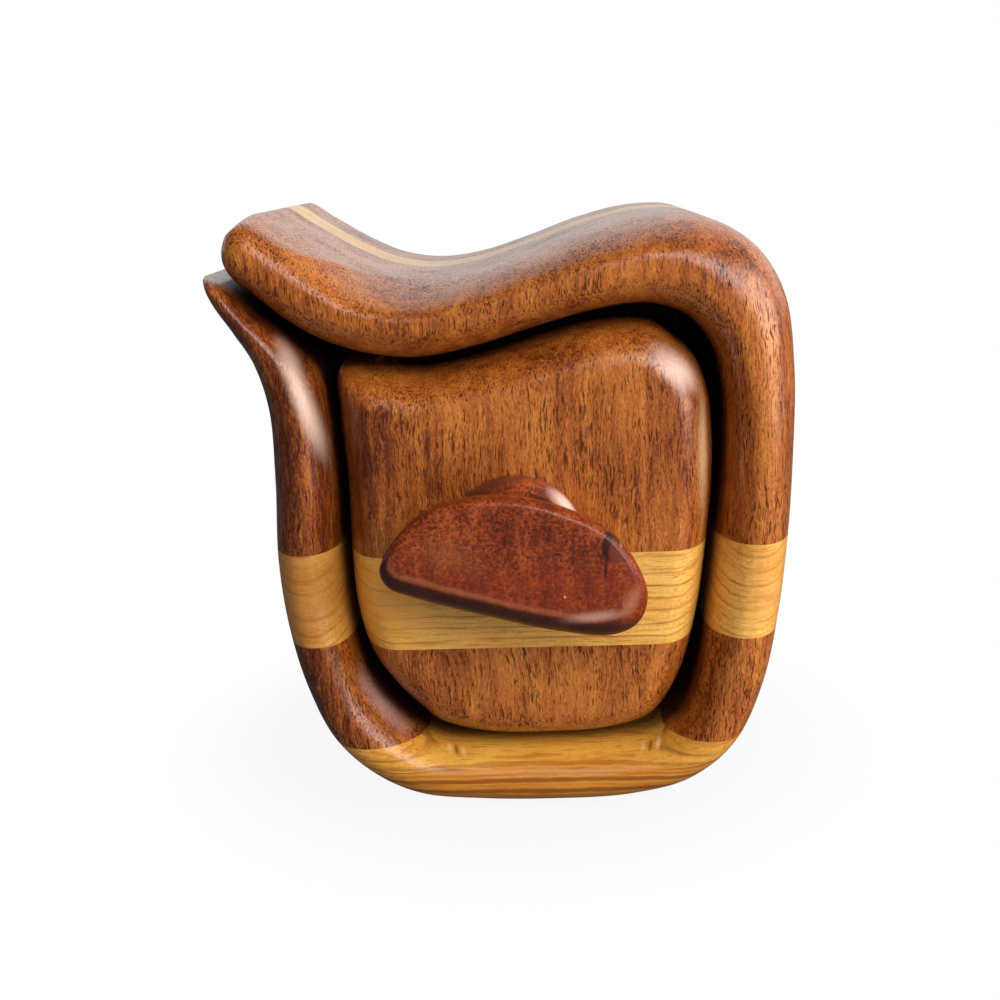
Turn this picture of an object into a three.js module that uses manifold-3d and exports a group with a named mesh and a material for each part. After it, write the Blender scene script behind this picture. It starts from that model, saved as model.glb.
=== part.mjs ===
// A small one-drawer box sawn from a block of glued boards, in millimetres.
// The case is a C of wood with an open saw kerf at its upper left, closed behind by a glued slice.
// +X is to the right, +Y to the back and +Z up. The origin is the centre of the flat foot.
import * as THREE from "three";
import { mergeVertices } from "three/addons/utils/BufferGeometryUtils.js";
import Module from "manifold-3d";

const wasm = await Module();
wasm.setup();

// Overall size of the case.
const WIDTH = 115.8;
const DEPTH = 89;
const HEIGHT = 122.9;

// Boards of the block: three lie flat, and three stand upright on them as the dark upper part.
const BASE_BOARD = 14.9;
const LOWER_BOARD = 22.2;
const BAND_BOARD = 19.4;
const FRONT_BOARD = 53;
const STRIPE_BOARD = 16;

// Slice sawn off the back before the opening is cut, and glued on again.
const BACK_SLICE = 9;
const BACK_ROUND = 2;

// Softened front edges of the case: how far they reach across the wall and how deep.
const WALL_ROUND = 7.4;
const WALL_DEEP = 15;
const ARM_DEEP = 24;
const RIDGE_DEEP = 3;
const RIDGE_DROP = 1.9;
const DROP_REACH = 18;
const END_ROUND = 4.5;
const FULLEST_ROUND = 0.47;
const SHOULDER_WIDER = 4.4;
const FRONT_STRIP = 0.8;

// The drawer: the sawn core, sanded, sunk until it rests on the base, with its corners eased.
const SAW_GAP = 1.5;
const REST_GAP = 0.4;
const CORNER_EASE = 3;
const FACE_SETBACK = 1;
const FACE_ROUND_ACROSS = 8;
const FACE_ROUND_DEEP = 15;
const FRONT_SLICE = 18;
const REAR_GAP = 0.5;
const DRAWER_WALL = 7;
const WALL_SLACK = 0.3;

// The carved pull: a plate on a round neck, with a hidden dowel through both.
const PLATE_THICKNESS = 7;
const PLATE_ROUND = 3;
const NECK_LENGTH = 9;
const NECK_RADIUS = 12.2;
const NECK_FOOT_RADIUS = 13.4;
const NECK_X = 1;
const NECK_ABOVE_BAND = 1.9;
const DOWEL_RADIUS = 4;
const DOWEL_RISE = 4;
const DOWEL_FIT = 0.3;
const DOWEL_IN_PLATE = 4;
const DOWEL_IN_DRAWER = 9;

// Stations along the case from the arm's free end, clockwise, to the tip of the left post.
// Each row is the outer edge x, z and the inner edge x, z, which are stretched to the overall size.
// The core of the block lay inside, and the last value is how much of the corner ease the drawer
// has there.
const STATIONS = [
  [-53.9, 117.2, -53.8, 113.8, 0],
  [-52.3, 121.2, -52.6, 110.5, 0],
  [-49.6, 123.0, -49.1, 107.0, 0],
  [-43.5, 119.4, -43.3, 102.2, 0],
  [-34.8, 114.2, -36.5, 98.0, 0],
  [-26.3, 110.4, -28.0, 95.2, 0],
  [-16.9, 108.9, -17.3, 94.1, 0],
  [-6.5, 110.1, -6.0, 96.1, 0],
  [5.0, 113.5, 6.5, 99.7, 0],
  [17.4, 117.7, 18.4, 102.5, 0],
  [29.8, 120.2, 28.8, 103.3, 0.3],
  [40.2, 119.6, 36.1, 100.6, 0.8],
  [49.7, 114.0, 40.7, 95.1, 0.6],
  [55.4, 104.8, 42.7, 87.4, 0.3],
  [57.5, 90.4, 43.1, 78.0, 0.1],
  [57.5, 74.5, 42.7, 68.0, 0],
  [56.7, 57.1, 41.6, 55.6, 0],
  [55.0, 40.2, 39.9, 40.7, 0.1],
  [51.8, 24.3, 37.9, 27.8, 0.5],
  [46.0, 11.8, 34.4, 18.1, 1],
  [36.7, 4.0, 28.8, 14.1, 0.8],
  [24.8, 0.3, 18.9, 13.2, 0.2],
  [7.9, -0.6, 7.9, 13.1, 0],
  [-7.9, -0.2, -7.0, 13.3, 0.1],
  [-21.4, 1.4, -17.9, 14.5, 0.7],
  [-31.3, 6.2, -24.0, 18.2, 1],
  [-39.0, 13.9, -29.6, 24.8, 0.9],
  [-43.9, 25.0, -32.7, 33.3, 0.3],
  [-47.1, 38.2, -34.4, 43.7, 0],
  [-48.5, 53.1, -35.0, 55.6, 0],
  [-47.8, 70.5, -35.0, 71.0, 0],
  [-48.0, 85.4, -35.7, 83.9, 0],
  [-50.7, 94.8, -37.3, 91.8, 0.8],
  [-54.2, 101.3, -42.3, 98.2, 0],
  [-56.9, 106.7, -48.9, 104.2, 0],
  [-58.2, 111.8, -54.8, 110.6, 0],
];

// Stations between which things lie: where the ridge along the arm's top edge drops to the front,
// where it draws back, where it is crisp, the soft shoulder, the core and the drawer's hollow.
const DROP_LAST = 4.2;
const RIDGE_FIRST = 3;
const RIDGE_LAST = 6;
const CRISP_LAST = 4;
const SOFT_FIRST = 8;
const ARM_LAST = 9;
const SHOULDER_FIRST = 12;
const SHOULDER_LAST = 14;
const WALL_FIRST = 16;
const CORE_FIRST = 5;
const CORE_LAST = 32;
const HOLLOW_FIRST = 14;
const HOLLOW_LAST = 31;
const SPANS = STATIONS.length - 1;

// The station where the case's underside is lowest.
const LOWEST = STATIONS.reduce((lowest, row, k) => (row[1] < STATIONS[lowest][1] ? k : lowest), 0);

// Outline of the pull's plate, x and z from the neck's axis.
const PLATE_OUTLINE = [
  [-25.8, -1.4],
  [-22.4, 4.6],
  [-15.9, 9.9],
  [-8, 12],
  [1, 11.9],
  [9.9, 9.3],
  [17.7, 5],
  [23, -1.6],
  [25, -7.9],
  [23.3, -13.4],
  [18.3, -15.8],
  [6.9, -14.6],
  [-7, -11.1],
  [-18.9, -7.7],
  [-24.8, -5],
];

// Fineness of the curved surfaces.
const SAMPLES = 3;
const ARC_STEPS = 4;
const EDGE_REACH = 1.5;
const EDGE_POINTS = 4;
const ROUND_SIDES = 32;

// Places that follow from the sizes.
const FRONT = -DEPTH / 2;
const BACK = DEPTH / 2;
const BAND_LOW = BASE_BOARD + LOWER_BOARD;
const BAND_HIGH = BAND_LOW + BAND_BOARD;
const STRIPE_FRONT = FRONT + FRONT_BOARD;
const STRIPE_BACK = STRIPE_FRONT + STRIPE_BOARD;
const GLUE_LINE = BACK - BACK_SLICE;
const SINK = SAW_GAP - REST_GAP;
const NECK_Z = BAND_HIGH + NECK_ABOVE_BAND;
const FACE = FRONT + FACE_SETBACK;
const DRAWER_BACK = GLUE_LINE - REAR_GAP;
const FRONT_SLICE_BACK = FACE + FRONT_SLICE;
const PLATE_BACK = FACE - NECK_LENGTH;
const PLATE_FRONT = PLATE_BACK - PLATE_THICKNESS;
const FAR = 200;

const DARK = { color: 0x7a3d1c, roughness: 0.35, metalness: 0 };
const LIGHT = { color: 0xd39a4c, roughness: 0.4, metalness: 0 };
const PULL = { color: 0x5c2415, roughness: 0.3, metalness: 0 };

// Makes a closed geometry a solid that can be joined and cut.
function solid(geometry) {
  const bare = geometry.index ? geometry.toNonIndexed() : geometry.clone();
  bare.deleteAttribute("normal");
  bare.deleteAttribute("uv");
  const merged = mergeVertices(bare, 1e-5);
  return new wasm.Manifold(
    new wasm.Mesh({
      numProp: 3,
      vertProperties: merged.attributes.position.array,
      triVerts: new Uint32Array(merged.index.array),
    }),
  );
}

// The space between two values along each axis, or all of it along an axis that isn't given.
function space({ x = [-FAR, FAR], y = [-FAR, FAR], z = [-FAR, FAR] }) {
  const geometry = new THREE.BoxGeometry();
  const corners = geometry.attributes.position;
  for (let i = 0; i < corners.count; i += 1) {
    const sides = [corners.getX(i), corners.getY(i), corners.getZ(i)];
    corners.setXYZ(i, ...[x, y, z].map(([low, high], axis) => (sides[axis] > 0 ? high : low)));
  }
  return solid(geometry);
}

// A smooth curve through points of the front view, each given as x, z.
function curveThrough(points, closed) {
  const places = points.map(([x, z]) => new THREE.Vector3(x, 0, z));
  return new THREE.CatmullRomCurve3(places, closed, "centripetal");
}

// The case's edges, stretched to its width and height.
const drawn = curveThrough(STATIONS.map(([x, z]) => [x, z]), false);
const extent = new THREE.Box3().setFromPoints(drawn.getPoints(SPANS * SAMPLES));
const stretchX = WIDTH / (extent.max.x - extent.min.x);
const stretchZ = HEIGHT / extent.max.z;
const outerCurve = curveThrough(STATIONS.map(([x, z]) => [x * stretchX, z * stretchZ]), false);
const innerCurve = curveThrough(STATIONS.map(([, , x, z]) => [x * stretchX, z * stretchZ]), false);

// Triangles over a convex loop, turned as the loop is.
function fanCap(loop) {
  return loop.slice(2).map((point, k) => [0, k + 1, k + 2]);
}

// Triangles over any loop that lies flat in the front view, turned as the loop is.
function flatCap(loop) {
  const flat = loop.map(([x, , z]) => new THREE.Vector2(x, z));
  const triangles = THREE.ShapeUtils.triangulateShape(flat, []);
  return THREE.ShapeUtils.isClockWise(flat) ? triangles.map(([a, b, c]) => [a, c, b]) : triangles;
}

// A closed solid over loops of equally many x, y, z points, capped at its first and last loop.
// The loops turn as a right-handed screw does that runs from the first loop to the last.
function loft(loops, cap) {
  const width = loops[0].length;
  const last = (loops.length - 1) * width;
  const index = [];
  for (let start = 0; start < last; start += width) {
    for (let k = 0; k < width; k += 1) {
      const a = start + k;
      const b = start + ((k + 1) % width);
      index.push(a, b, b + width, a, b + width, a + width);
    }
  }
  for (const [a, b, c] of cap(loops[0])) index.push(a, c, b);
  for (const corners of cap(loops.at(-1))) index.push(...corners.map((corner) => last + corner));
  const geometry = new THREE.BufferGeometry();
  geometry.setAttribute("position", new THREE.Float32BufferAttribute(loops.flat(2), 3));
  geometry.setIndex(index);
  return solid(geometry);
}

// How far a surface lies behind its face, near an edge rounded by a quarter ellipse.
function roundDepth(distance, across, deep) {
  if (distance >= across) return 0;
  const short = 1 - distance / across;
  return deep * (1 - Math.sqrt(1 - short * short));
}

// A point's distance from a closed outline.
function edgeDistance(point, outline) {
  const nearest = new THREE.Vector3();
  const distances = outline.map((start, k) => {
    const side = new THREE.Line3(start, outline[(k + 1) % outline.length]);
    return side.closestPointToPoint(point, true, nearest).distanceTo(point);
  });
  return Math.min(...distances);
}

// The way into a slab from a point of its outline, for a narrow round: square to the line between
// two points some way to each side, so that it turns slowly where the outline turns fast.
function squareIn(outline, k) {
  const along = outline[(k + EDGE_POINTS) % outline.length].clone().sub(outline.at(k - EDGE_POINTS));
  return new THREE.Vector3(along.z, 0, -along.x).setLength(EDGE_REACH);
}

// The way into a slab for a wide round at tight corners: towards the outline's middle.
function middleIn(outline, k) {
  const sum = outline.reduce((total, point) => total.add(point), new THREE.Vector3());
  return sum.divideScalar(outline.length).sub(outline[k]).setLength(EDGE_REACH);
}

// Loops over one rounded edge of a slab, from well inside the face out to the slab's side.
function edgeLoops(outline, round, depthAt) {
  const inwards = outline.map((_, k) => round.inwards(outline, k));
  const loops = [];
  for (let step = ARC_STEPS; step >= 0; step -= 1) {
    const turn = ((step / ARC_STEPS) * Math.PI) / 2;
    const inset = round.across * (1 - Math.cos(turn));
    loops.push(
      outline.map((edge, k) => {
        const point = edge.clone().addScaledVector(inwards[k], inset);
        return [point.x, depthAt(edgeDistance(point, outline)), point.z];
      }),
    );
  }
  return loops;
}

// A slab between two depths. Its outline turns clockwise in the front view, and each face's edge
// is square, or is rounded by a quarter ellipse given as its size across, its depth and the way in.
function slab(outline, front, back) {
  const square = (y) => [outline.map((edge) => [edge.x, y, edge.z])];
  const frontLoops = front.across
    ? edgeLoops(outline, front, (d) => front.y + roundDepth(d, front.across, front.deep))
    : square(front.y);
  const backLoops = back.across
    ? edgeLoops(outline, back, (d) => back.y - roundDepth(d, back.across, back.deep))
    : square(back.y);
  return loft([...frontLoops, ...backLoops.reverse()], flatCap);
}

// The outer edge's round at a station. Along the arm its rim is a crisp ridge, which drops a little
// to the front at the free end and then draws back; it grows soft, and wider, at the shoulder, as
// far as the wall's width leaves a strip of flat front.
function outerRound(station, reach, width) {
  const { lerp, smoothstep } = THREE.MathUtils;
  const arm = lerp(RIDGE_DEEP, ARM_DEEP, smoothstep(station, RIDGE_FIRST, RIDGE_LAST));
  const deep = lerp(arm, WALL_DEEP, smoothstep(station, ARM_LAST, SHOULDER_FIRST));
  const share = reach / WALL_ROUND;
  const shoulder =
    smoothstep(station, ARM_LAST, SHOULDER_FIRST) * (1 - smoothstep(station, SHOULDER_LAST, WALL_FIRST));
  const wider = Math.min(SHOULDER_WIDER, width - 2 * reach - FRONT_STRIP);
  return {
    across: reach + Math.max(wider, 0) * shoulder,
    deep: deep * share,
    crisp: 1 - smoothstep(station, CRISP_LAST, SOFT_FIRST),
    drop: RIDGE_DROP * share * (1 - smoothstep(station, RIDGE_FIRST, DROP_LAST)),
  };
}

// A front edge from its rim to the front: how far across the wall and how deep behind the front.
// It is a quarter ellipse, or where it is crisp a parabola that meets the side at an angle.
function edgeProfile({ across, deep, crisp, drop }) {
  return Array.from({ length: ARC_STEPS + 1 }, (_, k) => {
    const turn = ((k / ARC_STEPS) * Math.PI) / 2;
    const depth = THREE.MathUtils.lerp(1 - Math.sin(turn), Math.cos(turn) ** 2, crisp);
    return [drop + (across - drop) * (1 - Math.cos(turn)), deep * depth];
  });
}

// The wall's section at one station, as a loop from the outer face over the front to the inner.
function wallSection(station, lift) {
  const outer = outerCurve.getPoint(station / SPANS);
  const across = innerCurve.getPoint(station / SPANS).sub(outer);
  const width = across.length();
  across.normalize();
  const reach = Math.min(WALL_ROUND, FULLEST_ROUND * width);
  const deep = (WALL_DEEP * reach) / WALL_ROUND;
  const outside = edgeProfile(outerRound(station, reach, width));
  const inside = edgeProfile({ across: reach, deep, crisp: 0, drop: 0 });
  const section = [
    [0, GLUE_LINE - FRONT - lift],
    [0, outside[0][1] + DROP_REACH],
    [outside[0][0] / 4, outside[0][1] + DROP_REACH / 2],
    ...outside,
    ...inside.map(([s, y]) => [width - s, y]).reverse(),
    [width, GLUE_LINE - FRONT - lift],
  ];
  return section.map(([s, y]) => [outer.x + across.x * s, FRONT + lift + y, outer.z + across.z * s]);
}

// The case's wall between two stations, in front of the glue line.
function wall(first, last) {
  const middle = (station) =>
    outerCurve.getPoint(station / SPANS).lerp(innerCurve.getPoint(station / SPANS), 0.5);
  const ends = [middle(0), middle(SPANS)];
  const loops = [];
  for (let station = first; station <= last + 1e-9; station += 1 / SAMPLES) {
    const toEnd = Math.min(...ends.map((end) => end.distanceTo(middle(station))));
    loops.push(wallSection(station, roundDepth(toEnd, END_ROUND, END_ROUND)));
  }
  return loft(loops, fanCap);
}

const group = new THREE.Group();

// Adds one named piece made of a solid.
function add(name, piece, finish) {
  const mesh = piece.getMesh();
  const indexed = new THREE.BufferGeometry();
  indexed.setAttribute("position", new THREE.Float32BufferAttribute(mesh.vertProperties, 3));
  indexed.setIndex([...mesh.triVerts]);
  const geometry = indexed.toNonIndexed();
  geometry.computeVertexNormals();
  const part = new THREE.Mesh(geometry, new THREE.MeshStandardMaterial(finish));
  part.name = name;
  group.add(part);
}

// The case in front of the glue line, cut along the glue joints of its boards.
function addWalls() {
  const right = wall(0, LOWEST);
  const left = wall(LOWEST, SPANS);
  const upper = [BAND_HIGH, FAR];
  for (const [name, half] of [["crown", right], ["left_post", left]]) {
    add(`${name}_front_board`, half.intersect(space({ y: [-FAR, STRIPE_FRONT], z: upper })), DARK);
    add(`${name}_stripe`, half.intersect(space({ y: [STRIPE_FRONT, STRIPE_BACK], z: upper })), LIGHT);
    add(`${name}_rear_board`, half.intersect(space({ y: [STRIPE_BACK, FAR], z: upper })), DARK);
  }
  for (const [name, half] of [["right_wall", right], ["left_wall", left]]) {
    add(`${name}_band`, half.intersect(space({ z: [BAND_LOW, BAND_HIGH] })), LIGHT);
    add(`${name}_lower`, half.intersect(space({ z: [BASE_BOARD, BAND_LOW] })), DARK);
  }
  add("base_board", wall(0, SPANS).intersect(space({ z: [0, BASE_BOARD] })), LIGHT);
}

// The glued back slice keeps the block's whole outline, also across the saw kerf.
function addBackPanel() {
  const outline = outerCurve.getPoints(SPANS * SAMPLES);
  const edge = { across: BACK_ROUND, deep: BACK_ROUND, inwards: squareIn };
  const panel = slab(outline, { y: GLUE_LINE }, { y: BACK, ...edge });
  add("back_panel_upper", panel.intersect(space({ z: [BAND_HIGH, FAR] })), DARK);
  add("back_panel_band", panel.intersect(space({ z: [BAND_LOW, BAND_HIGH] })), LIGHT);
  add("back_panel_lower", panel.intersect(space({ z: [BASE_BOARD, BAND_LOW] })), DARK);
  add("back_panel_base", panel.intersect(space({ z: [0, BASE_BOARD] })), LIGHT);
}

// The share of the corner ease at a station, straight between the listed ones.
function easeAt(station) {
  const before = Math.min(Math.floor(station), SPANS - 1);
  return THREE.MathUtils.lerp(STATIONS[before][4], STATIONS[before + 1][4], station - before);
}

// A point of the drawer's side at a station, or of a line that lies deeper inside the drawer.
function drawerPoint(station, inside = 0) {
  const edge = innerCurve.getPoint(station / SPANS);
  const along = innerCurve.getTangent(station / SPANS);
  const inset = SAW_GAP + CORNER_EASE * easeAt(station) + inside;
  return [edge.x + along.z * inset, edge.z - along.x * inset - SINK];
}

// The closed outline of the drawer.
function drawerOutline() {
  const points = [];
  for (let station = CORE_FIRST; station <= CORE_LAST; station += 1) points.push(drawerPoint(station));
  return curveThrough(points, true).getPoints(points.length * SAMPLES).slice(0, -1);
}

// The hollow that is sawn out of the drawer's middle slice: a U that is open at the top. Points
// where the cut would fold over itself at a tight corner lie in the wall, and are passed by.
function drawerHollow(outline) {
  const cut = [];
  for (let k = 0; k <= (HOLLOW_LAST - HOLLOW_FIRST) * SAMPLES; k += 1) {
    const [x, z] = drawerPoint(HOLLOW_FIRST + k / SAMPLES, DRAWER_WALL);
    const point = new THREE.Vector3(x, 0, z);
    if (edgeDistance(point, outline) > DRAWER_WALL - WALL_SLACK) cut.push(point);
  }
  const above = (point) => new THREE.Vector3(point.x, 0, FAR);
  return slab([above(cut[0]), ...cut, above(cut.at(-1))], { y: FRONT_SLICE_BACK }, { y: STRIPE_BACK });
}

// A round peg, or the hole for one, along the pull's axis.
function peg(radius, front, back) {
  const geometry = new THREE.CylinderGeometry(radius, radius, back - front, ROUND_SIDES);
  geometry.translate(NECK_X, (front + back) / 2, NECK_Z + DOWEL_RISE);
  return solid(geometry);
}

// The hole for the pull's dowel, through the neck and into the plate and the drawer's front.
function dowelHole() {
  const front = PLATE_BACK - DOWEL_IN_PLATE - DOWEL_FIT;
  return peg(DOWEL_RADIUS + DOWEL_FIT, front, FACE + DOWEL_IN_DRAWER + DOWEL_FIT);
}

// The drawer: a front slice, a hollowed middle and a back slice of the core, glued together.
function addDrawer() {
  const outline = drawerOutline();
  const face = { y: FACE, across: FACE_ROUND_ACROSS, deep: FACE_ROUND_DEEP, inwards: middleIn };
  const core = slab(outline, face, { y: DRAWER_BACK });
  const low = BAND_LOW - SINK;
  const high = BAND_HIGH - SINK;
  const front = core.intersect(space({ y: [-FAR, FRONT_SLICE_BACK] })).subtract(dowelHole());
  const between = space({ y: [FRONT_SLICE_BACK, STRIPE_BACK] });
  const middle = core.intersect(between).subtract(drawerHollow(outline));
  const back = core.intersect(space({ y: [STRIPE_BACK, FAR] }));
  for (const [name, slice] of [["drawer_front", front], ["drawer_back", back]]) {
    add(`${name}_upper`, slice.intersect(space({ z: [high, FAR] })), DARK);
    add(`${name}_band`, slice.intersect(space({ z: [low, high] })), LIGHT);
    add(`${name}_lower`, slice.intersect(space({ z: [-FAR, low] })), DARK);
  }
  for (const [name, x] of [["drawer_left", [-FAR, 0]], ["drawer_right", [0, FAR]]]) {
    const side = middle.intersect(space({ x, z: [low, FAR] }));
    add(`${name}_board`, side.intersect(space({ y: [-FAR, STRIPE_FRONT], z: [high, FAR] })), DARK);
    add(`${name}_stripe`, side.intersect(space({ y: [STRIPE_FRONT, FAR], z: [high, FAR] })), LIGHT);
    add(`${name}_band`, side.intersect(space({ z: [low, high] })), LIGHT);
  }
  add("drawer_trough", middle.intersect(space({ z: [-FAR, low] })), DARK);
}

// The pull: a softly edged plate on a round neck, and the dowel that holds both to the drawer.
function addPull() {
  const points = PLATE_OUTLINE.map(([x, z]) => [NECK_X + x, NECK_Z + z]);
  const outline = curveThrough(points, true).getPoints(points.length * SAMPLES);
  const soft = { across: PLATE_ROUND, deep: PLATE_ROUND, inwards: middleIn };
  const plate = slab(outline.slice(0, -1), { y: PLATE_FRONT, ...soft }, { y: PLATE_BACK, ...soft });
  add("pull_plate", plate.subtract(dowelHole()), PULL);
  const profile = [
    new THREE.Vector2(0, PLATE_BACK),
    new THREE.Vector2(NECK_RADIUS, PLATE_BACK),
    new THREE.Vector2(NECK_FOOT_RADIUS, FACE),
    new THREE.Vector2(0, FACE),
  ];
  const neck = new THREE.LatheGeometry(profile, ROUND_SIDES);
  neck.translate(NECK_X, 0, NECK_Z);
  add("pull_neck", solid(neck).subtract(dowelHole()), PULL);
  add("pull_dowel", peg(DOWEL_RADIUS, PLATE_BACK - DOWEL_IN_PLATE, FACE + DOWEL_IN_DRAWER), LIGHT);
}

addWalls();
addBackPanel();
addDrawer();
addPull();

export default group;
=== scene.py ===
"""The looks of a small one-drawer box that was sawn from a block of glued boards.

The case, the drawer and the pull repeat the sizes and the formulas of the part's source, in
millimetres, at a finer resolution. Each CAD node is replaced by one finished piece.
"""

import logging
import math
from collections.abc import Sequence
from dataclasses import dataclass, field, replace
from enum import Enum

import bmesh
import bpy
import numpy as np
from mathutils import Matrix


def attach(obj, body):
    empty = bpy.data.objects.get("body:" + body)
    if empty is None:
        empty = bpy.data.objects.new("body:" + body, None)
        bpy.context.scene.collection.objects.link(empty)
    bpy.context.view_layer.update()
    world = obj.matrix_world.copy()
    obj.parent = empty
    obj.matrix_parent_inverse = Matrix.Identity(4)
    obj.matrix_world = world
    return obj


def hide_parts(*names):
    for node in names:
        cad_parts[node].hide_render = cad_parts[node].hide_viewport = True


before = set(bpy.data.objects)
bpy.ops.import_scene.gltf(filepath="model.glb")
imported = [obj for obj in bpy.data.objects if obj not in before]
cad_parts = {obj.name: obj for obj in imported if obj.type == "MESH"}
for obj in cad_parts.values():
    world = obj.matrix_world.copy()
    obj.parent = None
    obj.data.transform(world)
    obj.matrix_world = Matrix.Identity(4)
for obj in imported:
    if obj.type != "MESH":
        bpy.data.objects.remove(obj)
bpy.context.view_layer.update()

# Metres in a millimetre, how near two vertices are one, in metres, and a crease's least angle.
METRES = 0.001
WELD = 1e-8
SHARP = math.radians(38)
# How far behind its rim a side's drop ends, and how near a pole its first loop lies.
DROP_REACH = 18.0
POLE = 0.02
# How far before and after a place on a curve its direction is taken, in stations, and how many
# places are measured along a curve for each evenly spaced one.
STEP = 1e-3
FINE = 40
# Between which distances from an outline the soft distance takes over from the plain one, and the
# least distance.
TAKES_OVER = (0.3, 1.2)
LEAST = 1e-9
# The bump's strength, and the thin satin varnish on every wood.
RELIEF = 0.4
VARNISH = {"Specular IOR Level": 0.12, "Coat Roughness": 0.32, "Coat IOR": 1.5}
# The attribute and the brown-black of the painted shade on the saw kerf's sides, which stands in for the
# shade inside the gaps.
PAINTED_GAP_SHADE = "burnt"
PAINTED_SHADE_BROWN = (22, 9, 4)
WHITE = (1.0, 1.0, 1.0, 1.0)

log = logging.getLogger("trinket_box")


class Axis(Enum):
    """The object's axes: to the right, to the back and up."""

    RIGHT = 0
    BACK = 1
    UP = 2


class Body(Enum):
    """The bodies that pieces ride on."""

    CASE = "case"
    DRAWER = "drawer"


@dataclass(frozen=True)
class Shape:
    """A surface as whole arrays: vertex places in millimetres, quads and triangles, and how much
    painted shade, standing in for the shade inside the saw kerf, darkens the wood at each vertex, if any."""

    places: np.ndarray
    quads: np.ndarray
    triangles: np.ndarray = field(default_factory=lambda: np.zeros((0, 3), int))
    burnt: np.ndarray | None = None


@dataclass(frozen=True)
class Cut:
    """What stays of a shape along one axis: the part between two places in millimetres."""

    axis: Axis
    low: float | None = None
    high: float | None = None


@dataclass(frozen=True)
class Curve:
    """A smooth curve through points of the front view.

    Between two points it is the centripetal Catmull-Rom cubic: its slope at a point comes from the
    two neighbours, each weighted by the square root of its distance. An open curve's ends are
    carried on straight by one more point.
    """

    points: np.ndarray
    closed: bool = False

    def at(self, station: np.ndarray) -> np.ndarray:
        """Places on the curve.

        Args:
            station: Places along the curve, counted in points, in an array of any shape.

        Returns:
            The x and z of each, in an array with one more axis.
        """
        count = len(self.points)
        if self.closed:
            first = np.floor(station).astype(int)
            four = [self.points[(first + k) % count] for k in (-1, 0, 1, 2)]
        else:
            start, end = 2 * self.points[0] - self.points[1], 2 * self.points[-1] - self.points[-2]
            longer = np.vstack([start, self.points, end])
            first = np.clip(np.floor(station).astype(int), 0, count - 2)
            four = [longer[first + k] for k in range(4)]
        part = (station - first)[..., None]
        a, b, c, d = four
        pairs = zip(four, four[1:])
        ways = [np.linalg.norm(q - p, axis=-1, keepdims=True) ** 0.5 for p, q in pairs]
        before, middle, after = ways
        slope_b = ((b - a) / before - (c - a) / (before + middle) + (c - b) / middle) * middle
        slope_c = ((c - b) / middle - (d - b) / (middle + after) + (d - c) / after) * middle
        square = 3 * (c - b) - 2 * slope_b - slope_c
        cube = 2 * (b - c) + slope_b + slope_c
        return b + part * (slope_b + part * (square + part * cube))

    def along(self, station: np.ndarray) -> np.ndarray:
        """The unit direction of the curve, from places a little before and after.

        Args:
            station: Places along the curve.

        Returns:
            The x and z of each direction.
        """
        last = len(self.points) if self.closed else len(self.points) - 1
        before, after = (self.at(np.clip(station + way, 0, last)) for way in (-STEP, STEP))
        return (after - before) / np.linalg.norm(after - before, axis=-1, keepdims=True)


def smooth_step(value: np.ndarray, low: float, high: float) -> np.ndarray:
    """A share that eases from 0 at low to 1 at high: 3 t squared less 2 t cubed."""
    t = np.clip((value - low) / (high - low), 0, 1)
    return t * t * (3 - 2 * t)


def round_depth(
    distance: np.ndarray, across: float | np.ndarray, deep: float | np.ndarray
) -> np.ndarray:
    """How far behind its face a surface lies near its edge: a quarter ellipse, so far across."""
    short = 1 - np.clip(distance / across, 0, 1)
    return deep * (1 - np.sqrt(1 - short * short))


def rim_distance(places: np.ndarray, outline: np.ndarray, softness: float) -> np.ndarray:
    """A distance from a closed outline that turns smoothly where two of its sides are near.

    It is the mean of inverse powers of the distance to every bit of the outline, weighted by its
    length and scaled so that it is the plain distance beside a straight side. Very near the
    outline the plain distance to its closest side takes over.

    Args:
        places: x and z of each place, in rows of rows.
        outline: x and z of the outline's points, evenly and closely set.
        softness: The power; a higher one follows the plain distance more closely.

    Returns:
        The distance of each place.
    """
    sides = np.roll(outline, -1, 0) - outline
    lengths = np.linalg.norm(sides, axis=1)
    middles = outline + sides / 2
    scale = math.gamma((softness + 1) / 2) / (math.sqrt(math.pi) * math.gamma(softness / 2))
    found = []
    for row in places:
        away = row[:, None] - outline
        share = np.clip((away * sides).sum(-1) / lengths**2, 0, 1)
        plain = np.linalg.norm(away - share[..., None] * sides, axis=-1).min(1)
        reach = np.linalg.norm(row[:, None] - middles, axis=-1) + LEAST
        soft = (scale * (lengths * reach ** -(softness + 1)).sum(1)) ** (-1 / softness)
        found.append(plain + (soft - plain) * smooth_step(plain, *TAKES_OVER))
    return np.array(found)


def even_outline(curve: Curve, count: int, last: float) -> np.ndarray:
    """Evenly spaced points along a closed curve, or along an open one and the line back.

    Args:
        curve: The curve.
        count: How many points.
        last: The curve's last station.

    Returns:
        The x and z of the points.
    """
    fine = curve.at(np.linspace(0, last, FINE * count))
    fine = np.vstack([fine, fine[:1]])
    run = np.concatenate([[0], np.cumsum(np.linalg.norm(np.diff(fine, axis=0), axis=1))])
    at = np.linspace(0, run[-1], count, endpoint=False)
    return np.stack([np.interp(at, run, fine[:, 0]), np.interp(at, run, fine[:, 1])], 1)


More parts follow.
